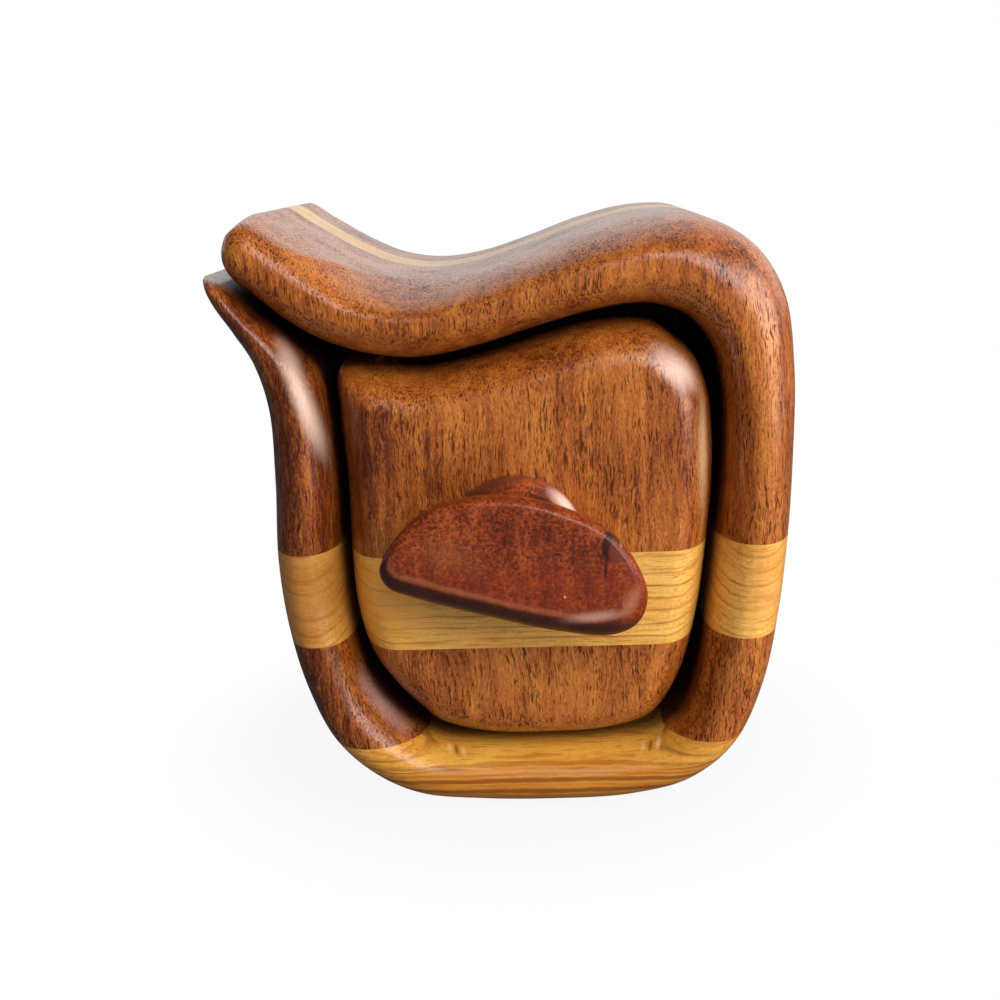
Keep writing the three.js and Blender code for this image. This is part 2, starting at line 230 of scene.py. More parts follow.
def tube(loops: np.ndarray, poles: tuple[np.ndarray, np.ndarray] | None = None) -> Shape:
    """A closed surface over loops of equally many points.

    Loop r, point k is vertex r n + k, and quads join each loop to the next. Without poles, each
    end is closed by a ladder of quads between the points k and n - 1 - k; with poles, by a fan.

    Args:
        loops: The loops' points: rows, points, x y z.
        poles: The middle of the first and of the last loop.

    Returns:
        The shape.
    """
    rows, count = loops.shape[:2]
    start = np.arange(rows - 1)[:, None] * count
    here, beside = np.arange(count), np.roll(np.arange(count), -1)
    corners = (start + here, start + beside, start + beside + count, start + here + count)
    quads = [np.stack(np.broadcast_arrays(*corners), -1).reshape(-1, 4)]
    places = loops.reshape(-1, 3)
    last = (rows - 1) * count
    if poles is None:
        rung = np.arange(count // 2 - 1)
        ladder = np.stack([rung, count - 1 - rung, count - 2 - rung, rung + 1], 1)
        quads += [ladder, last + ladder[:, ::-1]]
        return Shape(places, np.vstack(quads))
    first_pole, last_pole = (np.full(count, len(places) + k) for k in (0, 1))
    fans = [np.stack([first_pole, beside, here], 1)]
    fans += [np.stack([last_pole, last + here, last + beside], 1)]
    return Shape(np.vstack([places, *poles]), np.vstack(quads), np.vstack(fans))


@dataclass(frozen=True)
class Edge:
    """How a slab's face meets its side: square, or rounded by a quarter ellipse, whose size is one
    number or one for each point of the outline."""

    across: float | np.ndarray = 0.0
    deep: float | np.ndarray = 0.0


@dataclass(frozen=True)
class Hole:
    """A blind round hole in one face of a slab."""

    radius: float
    bottom: float


@dataclass(frozen=True)
class Slab:
    """A board sawn to an outline, between two depths.

    Seen from a middle point, place (k, s) of a face lies on the line from that point to point k of
    the outline. The first steps of s cross the rounded border as 1 - cos of an even angle does,
    and the rest go on in even shares. Its depth is the quarter ellipse of its distance from the
    outline.
    """

    outline: np.ndarray
    middle: tuple[float, float]
    front: float
    back: float
    front_edge: Edge = Edge()
    back_edge: Edge = Edge()
    front_hole: Hole | None = None
    back_hole: Hole | None = None
    softness: float = 5.0
    border_steps: int = 20
    inner_steps: int = 14
    side_steps: int = 5
    # The heights of a hole's loops above its bottom, as shares of its depth.
    hole_steps: tuple[float, ...] = (0.98, 0.5, 0.0)

    def face(self, edge: Edge, hole: Hole | None, level: float, side: int) -> np.ndarray:
        """Loops over one face, from the outline to its middle or to the bottom of its hole.

        Args:
            edge: How the face meets the side.
            hole: The hole in the face, if any.
            level: Where the face lies.
            side: 1 where the face's depth runs to the back, and -1 where it runs to the front.

        Returns:
            The loops' points.
        """
        middle = np.array(self.middle)
        spoke = self.outline - middle
        length = np.linalg.norm(spoke, axis=1)
        spoke = spoke / length[:, None]
        inner = hole.radius if hole else POLE
        rounded = bool(np.any(np.asarray(edge.across) > 0))
        steps = self.border_steps if rounded else 1
        turn = np.linspace(0, math.pi / 2, steps + 1)[:-1, None]
        share = np.linspace(1, 0, self.inner_steps + 1)[:, None]
        border = length - edge.across * (1 - np.cos(turn))
        reach = np.vstack([border, inner + (length - edge.across - inner) * share])
        flat = middle + spoke * reach[..., None]
        depth = np.zeros(reach.shape)
        if rounded:
            away = rim_distance(flat, self.outline, self.softness)
            depth = round_depth(away, edge.across, edge.deep)
            depth[0] = edge.deep
        loops = np.stack([flat[..., 0], level + side * depth, flat[..., 1]], -1)
        if hole:
            wall = np.repeat(loops[-1:], len(self.hole_steps), 0)
            height = np.array(self.hole_steps)[:, None] * (level - hole.bottom)
            wall[:, :, 1] = height + hole.bottom
            floor = wall[-1:].copy()
            floor[..., [0, 2]] = middle + (floor[..., [0, 2]] - middle) * 0.5
            loops = np.vstack([loops, wall, floor])
        return loops

    def shape(self) -> Shape:
        """Both faces and the side between them, closed at their middles.

        Returns:
            The shape.
        """
        front = self.face(self.front_edge, self.front_hole, self.front, 1)
        back = self.face(self.back_edge, self.back_hole, self.back, -1)
        share = np.linspace(0, 1, self.side_steps + 1)[1:-1, None, None]
        side = back[0] + (front[0] - back[0]) * share
        loops = np.vstack([back[::-1], side, front])
        x, z = self.middle
        poles = tuple(np.array([[x, loop[0, 1], z]]) for loop in (loops[0], loops[-1]))
        return tube(loops, poles)


@dataclass(frozen=True)
class Rim:
    """The rounded front edge of a strip, with one value for each row or one for all.

    From its rim to the front it is a quarter ellipse, this far across and deep; where it is crisp
    it is a parabola, which meets the side at an angle. Behind the rim the side leaves the outer
    line by a drop that grows with the square of the way. The back and the flat front have a few
    points at shares of the strip's width.
    """

    across: np.ndarray | float = 0.0
    deep: np.ndarray | float = 0.0
    crisp: np.ndarray | float = 0.0
    drop: np.ndarray | float = 0.0
    rim_points: int = 19
    side_points: int = 25
    back_shares: tuple[float, ...] = (0.4, 0.2, 0.0)
    flat_shares: tuple[float, ...] = (0.17, 0.37)

    def section(
        self, width: np.ndarray, front: np.ndarray, back: float, other: "Rim"
    ) -> tuple[np.ndarray, np.ndarray]:
        """Half of the strip's section, from the middle of its back to near the middle of its flat
        front, which lies between this rim and the other.

        Args:
            width: The strip's width, for each row.
            front: Where the front lies, for each row.
            back: Where the back lies.
            other: The rim across the strip.

        Returns:
            How far across, and how far back, the section's points lie, in a row for each row.
        """
        parts = (self.across, self.deep, self.crisp, self.drop)
        across, deep, crisp, drop = (0 * width[:, None] + np.reshape(p, (-1, 1)) for p in parts)
        width, front = width[:, None], front[:, None]
        strip = width - across - np.reshape(other.across, (-1, 1))
        turn = np.linspace(0, math.pi / 2, self.rim_points)
        depth = (1 - np.sin(turn)) * (1 - crisp) + np.cos(turn) ** 2 * crisp
        behind = (back - front - deep) * np.linspace(1, 0, self.side_points)[1:-1]
        side = drop * np.clip(1 - behind / DROP_REACH, 0, 1) ** 2
        rim = drop + (across - drop) * (1 - np.cos(turn))
        flat = across + strip * np.array(self.flat_shares)
        behind_all = width * np.array(self.back_shares)
        s = np.hstack([behind_all, side, rim, flat])
        y = [back + 0 * behind_all, front + deep + behind, front + deep * depth, front + 0 * flat]
        return s, np.hstack(y)


def ribbon(
    outer: np.ndarray,
    inner: np.ndarray,
    front: np.ndarray,
    back: float,
    rims: tuple[Rim, Rim] = (Rim(), Rim()),
) -> Shape:
    """A strip of wood between an outer and an inner line, softened along its front edges.

    At row r the section lies across from the outer to the inner point.

    Args:
        outer: x and z of the outer line's rows.
        inner: x and z of the inner line's rows.
        front: Where the front lies, for each row.
        back: Where the back lies.
        rims: The outer and the inner front edge.

    Returns:
        The shape.
    """
    across = inner - outer
    width = np.linalg.norm(across, axis=1)
    facing = zip(rims, rims[::-1])
    halves = [rim.section(width, front, back, other) for rim, other in facing]
    (s_outer, y_outer), (s_inner, y_inner) = halves
    s = np.hstack([s_outer, width[:, None] - s_inner[:, ::-1]])
    y = np.hstack([y_outer, y_inner[:, ::-1]])
    flat = outer[:, None] + (across / width[:, None])[:, None] * s[..., None]
    return tube(np.stack([flat[..., 0], y, flat[..., 1]], -1))


@dataclass(frozen=True)
class Piece:
    """One finished piece: its CAD node's name, its shape, its cuts, finish and body."""

    name: str
    shape: Shape
    finish: "Finish"
    body: Body
    cuts: tuple[Cut, ...] = ()

    def build(self) -> bpy.types.Object:
        """Makes the mesh, saws it along its cuts, and puts the piece in the CAD node's place.

        Returns:
            The object.
        """
        mesh = bpy.data.meshes.new(self.name)
        faces = [*self.shape.quads.tolist(), *self.shape.triangles.tolist()]
        mesh.from_pydata(self.shape.places * METRES, [], faces)
        # Painted shade on the kerf's sides goes along as a vertex attribute.
        if self.shape.burnt is not None:
            burnt = mesh.attributes.new(PAINTED_GAP_SHADE, "FLOAT", "POINT")
            burnt.data.foreach_set("value", self.shape.burnt.astype(np.float32))
        work = bmesh.new()
        work.from_mesh(mesh)
        for cut in self.cuts:
            for place, side in ((cut.low, -1), (cut.high, 1)):
                if place is not None:
                    saw(work, cut.axis, place, side)
        bmesh.ops.remove_doubles(work, verts=work.verts, dist=WELD)
        bmesh.ops.recalc_face_normals(work, faces=work.faces)
        work.to_mesh(mesh)
        work.free()
        mesh.shade_smooth()
        mesh.set_sharp_from_angle(angle=SHARP)
        mesh.materials.append(self.finish.material())
        piece = added("wood_" + self.name, mesh)
        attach(piece, self.body.value)
        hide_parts(self.name)
        log.info("%s: %d faces, %s", self.name, len(mesh.polygons), self.finish.name)
        return piece


def saw(work: bmesh.types.BMesh, axis: Axis, place: float, side: int) -> None:
    """Cuts a mesh square to an axis, drops what lies beyond the cut, and closes the cut face.

    Args:
        work: The mesh, in metres.
        axis: The axis that the cut is square to.
        place: Where the cut lies, in millimetres.
        side: 1 to drop what lies higher on the axis, -1 to drop what lies lower.
    """
    point, normal = [0.0] * 3, [0.0] * 3
    point[axis.value] = place * METRES
    normal[axis.value] = float(side)
    everything = [*work.verts, *work.edges, *work.faces]
    plane = {"plane_co": point, "plane_no": normal, "clear_outer": True}
    bmesh.ops.bisect_plane(work, geom=everything, dist=WELD, **plane)
    open_edges = [edge for edge in work.edges if edge.is_boundary]
    bmesh.ops.holes_fill(work, edges=open_edges, sides=0)


def colour(red: int, green: int, blue: int) -> tuple[float, float, float, float]:
    """A colour of a screen, 0 to 255, as light.

    Args:
        red: The red part.
        green: The green part.
        blue: The blue part.

    Returns:
        Linear red, green and blue, and 1.
    """
    parts = [c / 255 for c in (red, green, blue)]
    linear = [c / 12.92 if c <= 0.04045 else ((c + 0.055) / 1.055) ** 2.4 for c in parts]
    return (*linear, 1.0)


class Value:
    """One value of a material's nodes, used in Python expressions."""

    def __init__(self, nodes: "Nodes", socket: bpy.types.NodeSocket) -> None:
        """Keeps the nodes that it belongs to and the socket that gives it."""
        self.nodes = nodes
        self.socket = socket

    def __add__(self, other: "Value | float") -> "Value":
        """Their sum."""
        return self.nodes.maths("ADD", self, other)

    def __sub__(self, other: "Value | float") -> "Value":
        """Their difference."""
        return self.nodes.maths("SUBTRACT", self, other)

    def __rsub__(self, other: float) -> "Value":
        """Their difference, from a number."""
        return self.nodes.maths("SUBTRACT", other, self)

    def __mul__(self, other: "Value | float") -> "Value":
        """Their product."""
        return self.nodes.maths("MULTIPLY", self, other)

    __radd__ = __add__
    __rmul__ = __mul__


class Nodes:
    """A material's nodes, or the world's, made from Python expressions."""

    def __init__(self, tree: bpy.types.NodeTree) -> None:
        """Starts from an empty tree."""
        self.tree = tree
        tree.nodes.clear()

    def node(self, kind: str, settings: dict, sockets: dict, output: int | str = 0) -> Value:
        """Adds a node.

        Args:
            kind: The node's type.
            settings: Its settings, set first; "stops" are a ramp's places and colours.
            sockets: Values or numbers of its inputs, by name or place.
            output: The name or place of the output that is wanted.

        Returns:
            The output.
        """
        made = self.tree.nodes.new(kind)
        for name, setting in settings.items():
            if name == "stops":
                elements = made.color_ramp.elements
                while len(elements) < len(setting):
                    elements.new(0.5)
                for element, (place, shade) in zip(elements, setting):
                    element.position, element.color = place, shade
            else:
                setattr(made, name, setting)
        for name, value in sockets.items():
            if isinstance(value, Value):
                self.tree.links.new(value.socket, made.inputs[name])
            else:
                made.inputs[name].default_value = value
        return Value(self, made.outputs[output])

    def maths(self, operation: str, *values: "Value | float") -> Value:
        """What a Math node makes of some values."""
        return self.node("ShaderNodeMath", {"operation": operation}, dict(enumerate(values)))

    def place(self) -> Value:
        """The place in the object, in metres."""
        return self.node("ShaderNodeTexCoord", {}, {}, "Object")

    def part(self, place: Value, output: str) -> Value:
        """One coordinate of a place: X, Y or Z."""
        return self.node("ShaderNodeSeparateXYZ", {}, {0: place}, output)

    def far(self, place: Value, output: str) -> Value:
        """One coordinate of a place in metres, in millimetres."""
        return self.part(place, output) * (1 / METRES)

    def length(self, place: Value) -> Value:
        """How far a place lies from the middle."""
        return self.node("ShaderNodeVectorMath", {"operation": "LENGTH"}, {0: place}, "Value")

    def scaled(self, place: Value, often: Sequence[float]) -> Value:
        """A place in metres, scaled by how often a pattern changes per millimetre on each axis."""
        scale = tuple(f / METRES for f in often)
        return self.node("ShaderNodeMapping", {}, {"Vector": place, "Scale": scale})

    def swayed(self, place: Value, reach: tuple[float, float, float], often: float) -> Value:
        """A place moved by soft noise, so that a pattern made from it waves.

        Args:
            place: The place in metres.
            reach: How far it moves at most along each axis, in millimetres.
            often: How often the sway changes per millimetre.

        Returns:
            The moved place.
        """
        sockets = {"Vector": self.scaled(place, [often] * 3), "Scale": 1.0, "Detail": 2.0}
        sway = self.node("ShaderNodeTexNoise", {}, sockets, "Color")
        full = tuple(2 * METRES * part for part in reach)
        moved = {0: sway, 1: full, 2: place}
        return self.node("ShaderNodeVectorMath", {"operation": "MULTIPLY_ADD"}, moved)

    def noise(self, place: Value, detail: float = 2.0, rough: float = 0.5) -> Value:
        """Soft noise from 0 to 1, one period per unit, with finer layers and their strength."""
        sockets = {"Vector": place, "Scale": 1.0, "Detail": detail, "Roughness": rough}
        return self.node("ShaderNodeTexNoise", {}, sockets)

    def bands(self, ring: Value) -> Value:
        """Soft bands along a count of rings."""
        return self.noise(self.node("ShaderNodeCombineXYZ", {}, {"X": ring}), 2.0, 0.6)

    def ease(
        self, value: Value, low: float, high: float, start: float = 0.0, end: float = 1.0
    ) -> Value:
        """A value that eases from start to end while another goes from low to high."""
        sockets = {"Value": value, "From Min": low, "From Max": high, "To Min": start, "To Max": end}
        return self.node("ShaderNodeMapRange", {"interpolation_type": "SMOOTHSTEP"}, sockets)

    def mix(self, share: "Value | float", first: object, second: object) -> Value:
        """A mix of two colours, with a share of the second."""
        return self.node("ShaderNodeMix", {"data_type": "RGBA"}, {0: share, 6: first, 7: second}, 2)

    def ramp(self, tone: Value, stops: Sequence[float], colours: Sequence[tuple]) -> Value:
        """The colour of a tone between stops of a ramp."""
        settings = {"stops": list(zip(stops, colours))}
        return self.node("ShaderNodeValToRGB", settings, {"Fac": tone}, "Color")

    def gap_shaded(self, wood: Value, strength: float) -> Value:
        """Wood that is brown-black, by a strength, where painted shade lies on the saw kerf's sides,
        standing in for the shade inside the gaps.
        """
        burnt = self.node("ShaderNodeAttribute", {"attribute_name": PAINTED_GAP_SHADE}, {}, "Fac")
        return self.mix(burnt * strength, wood, colour(*PAINTED_SHADE_BROWN))

    def surface(self, colours: Value, rough: Value, varnish: Value, height: Value) -> None:
        """Ends a material in wood under a thin satin varnish.

        Args:
            colours: The colour.
            rough: The wood's roughness.
            varnish: How much of the varnish there is.
            height: How high the wood stands, in millimetres.
        """
        relief = {"Strength": RELIEF, "Distance": METRES, "Height": height}
        normal = self.node("ShaderNodeBump", {}, relief)
        sockets = {"Base Color": colours, "Roughness": rough, "Normal": normal}
        sockets |= {"Coat Weight": varnish, **VARNISH}
        self.end(self.node("ShaderNodeBsdfPrincipled", {}, sockets))

    def rays(self) -> tuple[Value, ...]:
        """Whether a ray comes from the camera, and whether it comes from gloss."""
        outputs = ("Is Camera Ray", "Is Glossy Ray")
        return tuple(self.node("ShaderNodeLightPath", {}, {}, output) for output in outputs)

    def end(self, shader: Value, kind: str = "ShaderNodeOutputMaterial") -> None:
        """Links a shader to the output."""
        output = self.tree.nodes.new(kind)
        self.tree.links.new(shader.socket, output.inputs["Surface"])


@dataclass(frozen=True)
class Grain:
    """A noise pattern: how often it changes per millimetre to the right, to the back and up, how
    many finer layers it has, and how strong those are."""

    right: float
    back: float
    up: float
    detail: float = 2.0
    rough: float = 0.5

    def of(self, nodes: Nodes, place: Value) -> Value:
        """The pattern at a place in metres, from 0 to 1."""
        scaled = nodes.scaled(place, (self.right, self.back, self.up))
        return nodes.noise(scaled, self.detail, self.rough)


@dataclass(frozen=True)
class Place:
    """An egg-shaped place about a middle, in millimetres, leaned in the front view by degrees. It
    fades over the outer share of its reach that is called soft."""

    middle: tuple[float, float, float]
    reach: tuple[float, float, float]
    lean: float = 0.0
    soft: float = 0.5

    def share(self, nodes: Nodes, place: Value, full: float) -> Value:
        """How much of it there is: full inside, and nothing beyond its reach.

        Args:
            nodes: The material's nodes.
            place: The place in metres.
            full: How much there is inside.

        Returns:
            The share.
        """
        middle, reach = (tuple(p * METRES for p in parts) for parts in (self.middle, self.reach))
        turned = (0.0, math.radians(self.lean), 0.0)
        sockets = {"Vector": place, "Location": middle, "Rotation": turned, "Scale": reach}
        near = nodes.node("ShaderNodeMapping", {"vector_type": "TEXTURE"}, sockets)
        return nodes.ease(nodes.length(near), 1 - self.soft, 1.0, full, 0.0)


@dataclass(frozen=True)
class Mark(Place):
    """A place whose colour, of 0 to 255, differs from the wood around it."""

    shade: tuple[int, int, int] = PAINTED_SHADE_BROWN
    strength: float = 1.0

    def laid(self, nodes: Nodes, place: Value, wood: Value) -> Value:
        """Colours the wood inside the mark."""
        return nodes.mix(self.share(nodes, place, self.strength), wood, colour(*self.shade))


@dataclass(frozen=True)
class Finish:
    """A finished wood. Its kinds say what the grain looks like. It may have marks, and waves that
    sway the grain, each with its reach along every axis and how often it changes."""

    name: str
    slot: str
    marks: tuple[Mark, ...] = ()
    waves: tuple[tuple[tuple[float, float, float], float], ...] = ()

    def dress(self, nodes: Nodes) -> None:
        """Makes the finish's nodes."""
        raise NotImplementedError

    def waved(self, nodes: Nodes, place: Value) -> Value:
        """The place moved by the finish's waves.

        Args:
            nodes: The material's nodes.
            place: The place in metres.

        Returns:
            The moved place.
        """
        for reach, often in self.waves:
            place = nodes.swayed(place, reach, often)
        return place

    def marked(self, nodes: Nodes, place: Value, wood: Value) -> Value:
        """The wood's colour with the finish's marks.

        Args:
            nodes: The material's nodes.
            place: The place in metres.
            wood: The wood's colour.

        Returns:
            The colour with the marks.
        """
        for mark in self.marks:
            wood = mark.laid(nodes, place, wood)
        return wood

    def material(self) -> bpy.types.Material:
        """The finish's material, made once.

        Returns:
            The material.
        """
        found = bpy.data.materials.get(self.name)
        if found is None:
            found = bpy.data.materials.new(self.name)
            found.use_nodes = True
            self.dress(Nodes(found.node_tree))
        return found


@dataclass(frozen=True)
class UprightWood(Finish):
    """Reddish brown wood whose fibres stand upright: dark dashes of open pores on its faces, dots
    on its ends, and broad bands where the yearly growth lies parallel to the front."""

    name: str = "reddish_upright_wood"
    slot: str = "dark_wood"
    pale: tuple = colour(210, 128, 50)
    middle: tuple = colour(168, 88, 26)
    deep: tuple = colour(104, 42, 12)
    deepest: tuple = colour(66, 24, 8)
    pore: tuple = colour(66, 22, 4)
    fleck: tuple = colour(226, 152, 76)
    waves: tuple = (((1.5, 1.0, 0.0), 0.09), ((0.34, 0.3, 0.0), 0.34))
    growth: float = 5.5
    sway_rings: float = 3.4
    sway: Grain = Grain(0.03, 0.03, 0.012)
    cloud: Grain = Grain(0.05, 0.05, 0.03, 3.0, 0.55)
    streaks: Grain = Grain(0.36, 0.36, 0.016, 3.0, 0.64)
    fibres: Grain = Grain(1.7, 1.3, 0.1, 3.0, 0.66)
    grit: Grain = Grain(3.0, 2.6, 1.5, 1.0)
    bright: Grain = Grain(2.7, 2.0, 0.4, 1.0)
    crowd: Grain = Grain(0.11, 0.11, 0.05)
    coarse: Grain = Grain(2.8, 2.0, 0.3, 1.0)
    fine: Grain = Grain(4.2, 3.2, 0.7, 1.0)
    # The least tone, and what the bands, clouds, streaks, fibres and grit add to it.
    tone_least: float = 0.025
    tone_shares: tuple[float, ...] = (0.2, 0.3, 0.38, 0.36, 0.26)
    tone_stops: tuple[float, ...] = (0.52, 0.635, 0.765, 0.93)
    # The darker heart at the left, partly the wood's own darker heart and partly painted shade on the
    # left side, which faces away from the lamps: where it ends to the right, where above, how that slopes,
    # and how much darker it is.
    heart_and_shade_right: tuple[float, float] = (-42.0, -22.0)
    heart_and_shade_up: tuple[float, float] = (62.0, 71.0)
    heart_and_shade_slope: float = 0.8
    heart_and_shade_darker: float = 0.11
    # Between which values of their noise, or of the tone, the flecks and pores appear.
    fleck_range: tuple[float, float] = (0.60, 0.72)
    fleck_tone: tuple[float, float] = (0.66, 0.82)
    fleck_share: float = 0.35
    coarse_range: tuple[float, ...] = (0.74, 0.82)
    fine_range: tuple[float, ...] = (0.73, 0.84, 0.0, 0.75)
    crowd_share: float = 0.3
    pore_share: float = 0.8
    # How dark the painted shade on the kerf's sides is.
    gap_shade_strength: float = 0.85
    # Broad paler or darker places, partly the wood's own tone and partly painted light and shade, such as
    # the darker drawer left, post top and shoulder: middle x, y and z, reach across and up, and the tone
    # added.
    lift_back: float = 20.0
    lifts: tuple[tuple[float, ...], ...] = (
        (-3.0, -42.0, 82.0, 22.0, 15.0, 0.1), (28.0, -42.0, 72.0, 15.0, 20.0, -0.07),
        (-27.0, -42.0, 76.0, 9.0, 20.0, -0.12), (-46.0, -40.0, 110.0, 12.0, 10.0, -0.07),
        (20.0, -40.0, 110.0, 22.0, 10.0, 0.08), (3.0, -42.0, 28.0, 30.0, 13.0, 0.05),
        (42.0, -40.0, 111.0, 13.0, 10.0, -0.1), (47.0, -40.0, 63.0, 9.0, 8.0, 0.05),
        (46.0, -40.0, 30.0, 13.0, 14.0, 0.07), (-52.0, -40.0, 102.0, 9.0, 10.0, -0.07),
    )
    marks: tuple[Mark, ...] = (
        Mark((-31.5, -44.0, 101.5), (0.32, 3.0, 2.6), -48.0, 0.5, (52, 18, 8), 0.85),
        Mark((-31.2, -44.0, 101.2), (0.3, 3.0, 2.2), -48.0, 0.5, (222, 150, 90), 0.5),
        Mark((54.1, -40.0, 67.4), (0.5, 3.0, 1.3), 30.0, 0.5, (30, 10, 5), 0.95),
        Mark((55.0, -38.0, 70.5), (0.35, 3.0, 0.8), 20.0, 0.5, (40, 14, 6), 0.8),
        Mark((-15.7, -42.0, 78.4), (1.1, 8.0, 4.2), 5.0, 0.8, (84, 30, 12), 0.8),
        Mark((-15.0, -42.0, 70.0), (3.4, 8.0, 3.2), 10.0, 0.9, (96, 38, 16), 0.45),
        Mark((16.1, -42.0, 80.3), (0.8, 6.0, 2.0), 0.0, 0.8, (84, 34, 14), 0.6),
        # Painted highlight: the catch-light along the drawer's upper left edge.
        Mark((-21.5, -42.0, 90.4), (7.5, 6.0, 0.9), 9.0, 0.9, (232, 160, 88), 0.55),
        Mark((34.5, -42.0, 86.5), (2.4, 6.0, 1.1), -20.0, 0.8, (104, 48, 22), 0.4),
        # Painted highlights on the drawer's upper right corner and right edge, the post's inner edge and
        # the lower left wall's inner edge.
        Mark((33.4, -41.0, 91.4), (4.2, 9.0, 9.0), -50.0, 1.0, (244, 210, 192), 0.75),
        Mark((38.3, -39.0, 74.0), (1.9, 8.0, 19.0), 0.0, 1.0, (244, 200, 150), 0.6),
        Mark((-40.0, -40.5, 88.0), (2.7, 9.0, 18.0), -17.0, 1.0, (250, 214, 190), 0.85),
        Mark((-27.6, -38.0, 23.0), (3.0, 9.0, 11.0), -36.0, 1.0, (232, 196, 190), 0.75),
    )

    def tone(self, nodes: Nodes, place: Value, waved: Value) -> Value:
        """How pale the wood is: growth bands, clouds, streaks and fibres, darker in the heart at the left,
        which is partly painted shade, with the broad lifts, which are partly painted light and shade.

        Args:
            nodes: The material's nodes.
            place: The place in metres.
            waved: The same, swayed.

        Returns:
            The tone, about 0.5 to 1.
        """
        right, up = nodes.far(place, "X"), nodes.far(place, "Z")
        heart_and_shade = nodes.ease(right, *self.heart_and_shade_right, 1.0, 0.0)
        heart_and_shade = heart_and_shade * nodes.ease(up + right * self.heart_and_shade_slope, *self.heart_and_shade_up, 1.0, 0.0)
        tone = self.tone_least - heart_and_shade * self.heart_and_shade_darker
        ring = nodes.far(place, "Y") * (1 / self.growth)
        ring = ring + self.sway.of(nodes, place) * self.sway_rings
        grains = (self.cloud, self.streaks, self.fibres, self.grit)
        parts = (nodes.bands(ring), *(grain.of(nodes, waved) for grain in grains))
        tone = sum((part * share for part, share in zip(parts, self.tone_shares)), tone)
        for x, y, z, across, high, amount in self.lifts:
            lift = Place((x, y, z), (across, self.lift_back, high), soft=1.0)
            tone = tone + lift.share(nodes, place, amount)
        return tone

    def dress(self, nodes: Nodes) -> None:
        """The tone's colours, pale flecks, open pores of two sizes, the marks, some of which are painted
        highlights, and painted shade on the kerf's sides; the varnish is thin over the pores.

        Args:
            nodes: The material's nodes.
        """
        place = nodes.place()
        waved = self.waved(nodes, place)
        tone = self.tone(nodes, place, waved)
        shades = (self.deepest, self.deep, self.middle, self.pale)
        wood = nodes.ramp(tone, self.tone_stops, shades)
        bright = self.bright.of(nodes, waved)
        flecks = nodes.ease(bright, *self.fleck_range) * nodes.ease(tone, *self.fleck_tone)
        wood = nodes.mix(flecks * self.fleck_share, wood, self.fleck)
        crowd = self.crowd.of(nodes, place) * self.crowd_share
        coarse = nodes.ease(self.coarse.of(nodes, waved) + crowd, *self.coarse_range)
        fine = nodes.ease(self.fine.of(nodes, waved) + crowd, *self.fine_range)
        pores = nodes.maths("MAXIMUM", coarse, fine)
        wood = nodes.mix(pores * self.pore_share, wood, self.pore)
        # Painted shade on the kerf's sides.
        wood = nodes.gap_shaded(self.marked(nodes, place, wood), self.gap_shade_strength)
        height = pores * -0.05 - bright * 0.01
        nodes.surface(wood, 0.42 + pores * 0.2, 1.0 - pores * 0.8, height)


